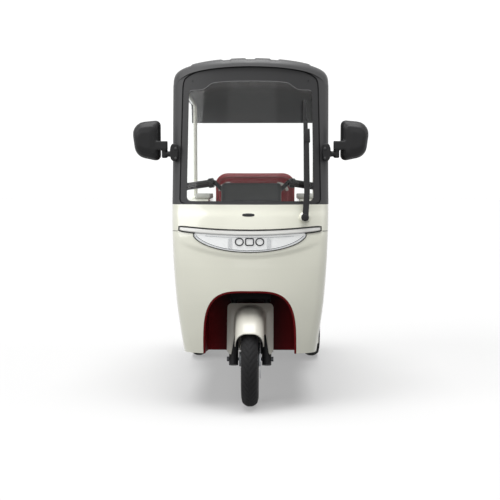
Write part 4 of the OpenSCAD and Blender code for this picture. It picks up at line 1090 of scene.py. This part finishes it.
# %% [markdown]
# ## Seats
# A seat is foam inside a sewn cover, so its faces are crowned and its edges pulled in by the
# seams. Sculpting would do, but the cover's own behaviour is simple to run: the plain blocks are
# remeshed evenly, then blown up a little as cloth under pressure, with the movement held short.

# %% Puff the cushions
def coordinates(mesh):
    flat = np.empty(len(mesh.vertices) * 3)
    mesh.vertices.foreach_get("co", flat)
    return flat.reshape(-1, 3)


def puff(obj, voxel, limit, frames=20):
    even(obj, voxel, 10)
    scene = bpy.context.scene
    start = coordinates(obj.data)
    cloth = obj.modifiers.new("air", "CLOTH")
    cloth.settings.use_pressure = True
    cloth.settings.uniform_pressure_force = 4.0
    cloth.settings.quality = 4
    cloth.settings.effector_weights.gravity = 0.0
    cloth.collision_settings.use_collision = False
    cloth.point_cache.frame_start, cloth.point_cache.frame_end = 1, frames
    for step in range(1, frames + 1):
        scene.frame_set(step)
    blown = obj.evaluated_get(bpy.context.evaluated_depsgraph_get()).data
    move = coordinates(blown) - start
    far = np.linalg.norm(move, axis=1, keepdims=True)
    start += move * np.minimum(1, limit * MM / np.maximum(far, 1e-9))
    obj.modifiers.clear()
    scene.frame_set(1)
    obj.data.vertices.foreach_set("co", start.ravel())
    obj.data.update()
    return obj


def seat(node, voxel):
    obj = puff(cad(node + "_look", node), voxel, 9)
    place(obj, "chassis", "seat_maroon", LEATHER, node, angle=60)
    return obj


driver_pad = seat("driver_cushion", 9)
driver_back = seat("driver_backrest", 9)
bench_pad = seat("bench_cushion", 10)
bench_back = seat("bench_backrest", 10)

# %% [markdown]
# ## Piping and sewn channels
# Piping follows the seams, and dark channels cross the cushions where the cover is sewn down. The
# cover has just been blown up, so the lines can't be drawn in advance: each point is moved to the
# nearest spot on the finished cushion, and a thin bar runs along the result. A channel is given by
# the d and z of a straight line that lies close to the cushion.

# %% Sew the seats
DRIVER_BACK = {"w": 209, "top": 142, "z0": 590, "z1": 1123, "r": 70}
BENCH_BACK = {"w": 258, "top": 180, "z0": 690, "z1": 1171, "r": 80}
DRIVER_D, DRIVER_LEAN, BENCH_D, BENCH_LEAN = 838, 30, 1376, 35


def laid_on(obj, points):
    near = [obj.closest_point_on_mesh(spot)[1] for spot in metres(points)]
    return [(p.x / MM, p.y / MM - FRONT, p.z / MM) for p in near]


def sew(name, obj, points, radius, material, closed=False):
    line = tube(name, laid_on(obj, points), radius, material, closed, 8)
    return place(line, "chassis", "pad_grey", material)


def back_outline(w, top, z0, z1, r, inset):
    right = [(w - inset, z0 + 40), (w - inset, z1 - r)]
    for t in np.linspace(0, math.pi / 2, 9)[1:]:
        across = w - inset + (top - w) * (1 - math.cos(t))
        right.append((across, z1 - r - inset + r * math.sin(t)))
    return right + [(-x, z) for x, z in right[::-1]]


def back_piping(name, obj, back, d, lean, inset):
    rise = back["z1"] - back["z0"]
    edge = back_outline(**back, inset=inset)
    return sew(name, obj, [(x, d + lean * (z - back["z0"]) / rise, z) for x, z in edge], 3.5, PIPING)


def pad_piping(name, obj, w, d0, d1, z):
    rect = [(w - 24, d1 - 24), (24 - w, d1 - 24), (24 - w, d0 + 40), (w - 24, d0 + 40)]
    line = []
    for (xa, da), (xb, db) in zip(rect, rect[1:] + rect[:1]):
        line += [(xa + (xb - xa) * t, da + (db - da) * t, z + 6) for t in np.arange(16) / 16]
    return sew(name, obj, line, 3.0, PIPING, True)


def channels(name, obj, half_run, spots):
    lines = []
    for d, z in spots:
        run = laid_on(obj, [(x, d, z) for x in np.linspace(-half_run, half_run, 33)])
        lines.append(tube("line", run, 1.8, STITCH, False, 8))
    return place(merged(name, lines), "chassis", "seat_maroon", STITCH)


back_piping("driver_back_piping", driver_back, DRIVER_BACK, DRIVER_D, DRIVER_LEAN, 20)
back_piping("bench_back_piping", bench_back, BENCH_BACK, BENCH_D, BENCH_LEAN, 22)
pad_piping("driver_cushion_piping", driver_pad, 205, 468, DRIVER_D, 695)
pad_piping("bench_cushion_piping", bench_pad, 258, 990, BENCH_D, 785)
# pale pads along the backrest's shoulders; their pale tone is partly a painted highlight where the
# shoulders catch the light
shoulder = back_outline(**DRIVER_BACK, inset=6)[2:10]
for s, side in SIDES:
    corner = [(s * x, DRIVER_D + DRIVER_LEAN, z) for x, z in shoulder]
    sew("driver_corner_highlight_" + side, driver_back, corner, 9, PAD)
channels("driver_back_channels", driver_back, 165, [(820, 690), (830, 790), (836, 890)])
channels("bench_back_channels", bench_back, 210, [(1366, 820), (1374, 930)])
channels("driver_cushion_channels", driver_pad, 165, [(560, 730), (650, 730), (740, 730)])
channels("bench_cushion_channels", bench_pad, 210, [(1080, 820), (1180, 820), (1280, 820)])

# %% [markdown]
# ## Seat boxes and armrests
# Under the seats stand a box, the battery and the bench's base, which are plain sheet forms. The
# armrest pads are soft, so they are remeshed and smoothed, and spread a little over their bases.

# %% Make the boxes and the armrests
ARMREST_X, SPREAD = 305, 1.5

dress("driver_seat_box", "chassis", "floor_black", BLACK, 3, 3)
dress("battery_pack", "chassis", "battery_grey", DRIVE, 4, 3)
dress("bench_box", "chassis", "body_cream", CREAM, 3, 3)
pads = even(cad("armrests_look", "armrests"), 4, 4)
for v in pads.data.vertices:
    x = abs(v.co.x) / MM
    v.co.x = math.copysign(ARMREST_X + (x - ARMREST_X) * SPREAD, v.co.x) * MM
place(pads, "chassis", "pad_grey", PAD, "armrests", angle=60)

# %% [markdown]
# ## Rear body
# Side bodies and rear panel are painted mouldings, so their edges are rounded generously. The tail
# lamps get the ribs and the dark bezel of a real lens, and a rubber trim runs along each rear
# arch: a row of blocks, a bar along an oval and a bar along an arc.

# %% Make the rear body
WHEEL_R, WHEELBASE, REAR_ARCH, BODY_LOW = 233, 1450, 268, 332
TAIL_X, TAIL_D, TAIL_Z, TAIL_HALF, TAIL_RISE, TRIM_X = 333.5, 1748, 665, 45, 108, 399.5

for side in ("left", "right"):
    dress("side_body_" + side, "chassis", "body_cream", CREAM, 4.5, 3, 55)
dress("rear_panel", "chassis", "body_cream", CREAM, 3, 3, 55)
dress("tail_lamps", "chassis", "lens_red", RED, 4, 3, 40)
ribs, bezels, trims = [], [], []
rise = math.asin((BODY_LOW - WHEEL_R) / REAR_ARCH)
for s, side in SIDES:
    ribs.append(blocks(
        "rib", ROW, Count=9, Start=(s * TAIL_X * MM, 0.9945, 0.58), Step=(0, 0, 0.0213),
        Size=(0.068, 0.003, 0.006), Turn=(0, 0, 0), Material=RED,
    ))
    edge = oval(80, TAIL_HALF, TAIL_RISE, s * TAIL_X, TAIL_Z, 0.3, 0.15)
    bezels.append(tube("bezel", [(x, TAIL_D, z) for x, z in edge], 4, BLACK, True))
    arc = []
    for t in np.linspace(rise, math.pi - rise, 61):
        spot = (WHEELBASE + REAR_ARCH * math.cos(t), WHEEL_R + REAR_ARCH * math.sin(t))
        arc.append((s * TRIM_X, *spot))
    trims.append(tube("trim", arc, 4.5, BLACK))
place(merged("tail_lamp_ribs", ribs), "chassis", "lens_red", RED)
place(merged("tail_lamp_bezels", bezels), "chassis", "trim_black", BLACK)
place(merged("rear_arch_trim", trims), "chassis", "trim_black", BLACK)
dress("rear_bumper", "chassis", "trim_black", BLACK, 4, 3, 40)

# %% [markdown]
# ## Frame and drive
# Welded tube, castings and spring leaves already have the right form as solids. They are taken
# over with tight edges, as steel has.

# %% Dress the frame and the drive
dress("chassis_frame", "chassis", "frame_black", FRAME_BLACK, 2, 2, 55)
dress("rear_axle", "chassis", "drive_grey", DRIVE, 2.5)
dress("drive_motor", "chassis", "motor_alu", DRIVE, 3, 3)
dress("leaf_springs", "chassis", "spring_steel", FRAME_BLACK)

# %% [markdown]
# ## Steered pieces
# Everything from the handlebar to the axle turns about the raked steering axis. Points are given
# in the axis's own frame and set upright by one function. The pod is a rounded moulding, so it is
# remeshed and smoothed like the mirrors.

# %% Dress the steered pieces
RAKE, STEER_D, STEER_Z = math.radians(18), 28.532, 223.729


def steer(x, y, z):
    d = STEER_D + y * math.cos(RAKE) + z * math.sin(RAKE)
    return (x, d, STEER_Z - y * math.sin(RAKE) + z * math.cos(RAKE))


for node, slot, material, width in (
    ("fork", "frame_black", FRAME_BLACK, 2), ("fork_legs", "frame_black", FRAME_BLACK, 6),
    ("front_axle", "bright_steel", DRIVE, 0.8), ("brake_caliper", "motor_alu", DRIVE, 2),
    ("handlebar", "trim_black", BLACK, 0.8), ("hand_controls", "trim_black", BLACK, 1.5),
):
    dress(node, "steering", slot, material, width)
pod = even(cad("instrument_pod_look", "instrument_pod"), 5, 6)
place(pod, "steering", "trim_black", POD, "instrument_pod", angle=60)

# %% [markdown]
# ## Front fender
# The fender is a flat plate with an arched crown growing out of it. The solid is cut to the real
# opening, which widens downwards. Where the crown meets the plate the moulding has a fillet: a
# quarter-round section, carried up one side, over the arch and down the other.

# %% Make the fender
PLATE, AXLE_Y, CROWN_Z, CROWN_R, CROWN_HALF, FOOT_Z = -58.4, -30, 261, 54, 70, 118
FILLET_OUT, FILLET_RUN, BITE = 12.5, 26, 2.5

opening = [(-70, 160), (-95, 8), (95, 8), (70, 160)]
fender = cad("front_fender_look", "front_fender")
depths = (PLATE - 6, PLATE + 5.5)
cut_by(fender, loft("tool", [[steer(x, y, z) for x, z in opening] for y in depths]))
place(soft_edges(fender, 1.4), "steering", "fender_cream", FENDER, "front_fender")

section = [(-BITE, PLATE + 1), (-BITE, PLATE - FILLET_RUN)]
for t in np.linspace(0, math.pi / 2, 10):
    out = FILLET_OUT - FILLET_OUT * math.cos(t)
    section.append((out, PLATE - FILLET_RUN + FILLET_RUN * math.sin(t)))
section.append((FILLET_OUT, PLATE + 1))

edge = [(CROWN_HALF, z, 1, 0) for z in np.linspace(FOOT_Z, CROWN_Z - CROWN_R, 12)]
for t in np.linspace(0, math.pi / 2, 15)[1:]:
    c, s = math.cos(t), math.sin(t)
    edge.append((CROWN_HALF - CROWN_R + CROWN_R * c, CROWN_Z - CROWN_R + CROWN_R * s, c, s))
edge += [(-x, z, -nx, nz) for x, z, nx, nz in edge[::-1]]
rings = []
for x, z, nx, nz in edge:
    ring = []
    for out, y in section:
        h = math.sqrt(z * z - (y - AXLE_Y) ** 2) if nz else z
        ring.append(steer(x + nx * out, y, h + nz * out))
    rings.append(ring)
place(loft("fender_root", rings), "steering", "fender_cream", FENDER, angle=60)

# %% [markdown]
# ## Tyres
# A tyre is a body of revolution, so it is turned from one section. The section changes as it goes
# round: slanting grooves are pressed in there, along with the two long grooves in the middle. A
# picture of a tread on a smooth ring would show at the rim, where the blocks stand out.

# %% Turn a tyre
TREAD, GROOVE, TREAD_DROP = 44, 2.2, 17


def groove(t, turn):
    slant = (turn * TREAD + 1.5 * abs(t) + (0.5 if t > 0 else 0)) % 1
    cut = 1 if 0.08 < abs(t) < 0.97 and slant < 0.24 else 0
    middle = max(0, 1 - abs(abs(t) - 0.02) / 0.04)
    return GROOVE * max(cut, middle)


def tyre_section(w, turn):
    rows = []
    for t in np.linspace(-1, 1, 45):
        rows.append((WHEEL_R - TREAD_DROP * abs(t) ** 2.2 - groove(t, turn), t * w * 0.445))
    side = [(211, 0.475), (203, 0.492), (194, 0.5), (186, 0.4985), (178, 0.486), (168, 0.44)]
    right = [(r, f * w) for r, f in side] + [(158, 35), (152.3, 30)]
    return rows + right + [(r, -x) for r, x in right[::-1]]


def turned(name, w, x, d, n=352):
    points = []
    for k in range(n):
        c, s = math.cos(2 * math.pi * k / n), math.sin(2 * math.pi * k / n)
        points += [(x + a, d + r * c, WHEEL_R + r * s) for r, a in tyre_section(w, k / n)]
    m = len(points) // n
    faces = []
    for k in range(n):
        a, b = k * m, ((k + 1) % n) * m
        faces += [(a + i, a + (i + 1) % m, b + (i + 1) % m, b + i) for i in range(m)]
    return add(name, points, faces)


print("points round a tyre's section:", len(tyre_section(80, 0)))

# %% [markdown]
# ## Wheels
# Small bars repeat round each side wall. The cast rims are taken over with soft edges, and a
# stepped cap closes each rear hub. The front hub has its axle instead, and a brake disc.

# %% Make the wheels
REAR_X, HUB_END, WALL_BARS, WALL_R = 357.5, 395.6, 96, 0.199

for end, body, w, x, d in (
    ("front_{}", "front_wheel", 80, 0, 0),
    ("rear_{}_left", "rear_wheel_left", 95, REAR_X, WHEELBASE),
    ("rear_{}_right", "rear_wheel_right", 95, -REAR_X, WHEELBASE),
):
    node = end.format("tyre")
    place(turned(node + "_look", w, x, d), body, "tyre", RUBBER, node, angle=30)
    bars = []
    for s, side in SIDES:
        centre = ((x + s * w * 0.492) * MM, (d + FRONT) * MM, WHEEL_R * MM)
        bars.append(blocks(
            "bar", RING, Count=WALL_BARS, Radius=WALL_R, Size=(0.0024, 0.0035, 0.012),
            Centre=centre, Slant=(0, -s * 0.25, 0), Material=RUBBER,
        ))
    place(merged(node + "_wall_bars", bars), body, "tyre", RUBBER)
    if x:
        s = math.copysign(1, x)
        steps = ((30, 0), (30, s * 3), (26, s * 5), (12, s * 6.5))
        cap = disc(end.format("hub_cap"), (s * HUB_END, d, WHEEL_R), True, steps)
        place(cap, body, "rim_alloy", ALLOY, angle=30)
    dress(end.format("rim"), body, "rim_alloy", ALLOY, 2)
dress("brake_disc", "front_wheel", "bright_steel", STEEL, 0.4, 1)

# %% [markdown]
# ## Studio
# The vehicle stands on a plain white floor in an even white surround. Strong light would make them
# white, but it would also bleach the paint. So they look white to the camera, in glass and in
# mirrors, and throw back less light than they show, which leaves a faint shadow.

# %% Make the floor
FLOOR, PAPER, BOUNCE, LIT_SHARE = 60, 0.555, 0.14, 0.32


def seen(tree):
    node = tree.nodes.new("ShaderNodeLightPath")
    rays = [Value(tree, node.outputs["Is %s Ray" % k]) for k in ("Camera", "Transmission", "Glossy")]
    return rays[0].maths("MAXIMUM", rays[0].maths("MAXIMUM", rays[0], rays[1]), rays[2])


def grey(level):
    return {"Color": (level, level, level, 1)}


def paper(name):
    material = bpy.data.materials.new(name)
    material.use_nodes = True
    tree = material.node_tree
    tree.nodes.clear()
    make = Value(tree).make
    matt = make("ShaderNodeBsdfDiffuse", {}, grey(PAPER))
    lit = make("ShaderNodeEmission", {}, grey(1) | {"Strength": 1.0})
    bright = make("ShaderNodeMixShader", {}, {0: LIT_SHARE, 1: matt, 2: lit})
    dull = make("ShaderNodeBsdfDiffuse", {}, grey(BOUNCE))
    mixed = make("ShaderNodeMixShader", {}, {0: seen(tree), 1: dull, 2: bright})
    end = tree.nodes.new("ShaderNodeOutputMaterial")
    tree.links.new(mixed.socket, end.inputs["Surface"])
    return material


mesh = bpy.data.meshes.new("studio_floor")
corners = [(-FLOOR, -FLOOR, 0), (FLOOR, -FLOOR, 0), (FLOOR, FLOOR, 0), (-FLOOR, FLOOR, 0)]
mesh.from_pydata(corners, [], [(0, 1, 2, 3)])
floor = shown("studio_floor", mesh)
floor.data.materials.append(paper("studio_paper"))
print("floor", 2 * FLOOR, "m square")

# %% [markdown]
# ## Light
# A wide light from above does most of the work, as a large soft box over a studio floor does. A
# softer one from the viewer's left fills the sides, and two weak ones lift the front and the
# viewer's right.

# %% Light the scene
SKY, SKY_SEEN = 0.24, 0.86

for name, energy, angle, tilt, turn in (
    ("key", 4.2, 50, 6, -4), ("fill", 1.2, 40, 60, -60), ("front", 0.25, 40, 74, 0),
    ("side", 0.3, 40, 62, 80),
):
    data = bpy.data.lights.new(name, "SUN")
    data.energy, data.angle = energy, math.radians(angle)
    light = shown(name, data)
    light.rotation_euler = (math.radians(tilt), 0, math.radians(turn))

world = bpy.data.worlds.new("studio")
bpy.context.scene.world = world
world.use_nodes = True
tree = world.node_tree
tree.nodes.clear()
strength = SKY + seen(tree) * SKY_SEEN
sky = strength.make("ShaderNodeBackground", {}, grey(1) | {"Strength": strength})
end = tree.nodes.new("ShaderNodeOutputWorld")
tree.links.new(sky.socket, end.inputs["Surface"])
bpy.context.scene.view_settings.view_transform = "Standard"

# %% [markdown]
# ## Sizes
# The dressed model has to keep the size of the solids.
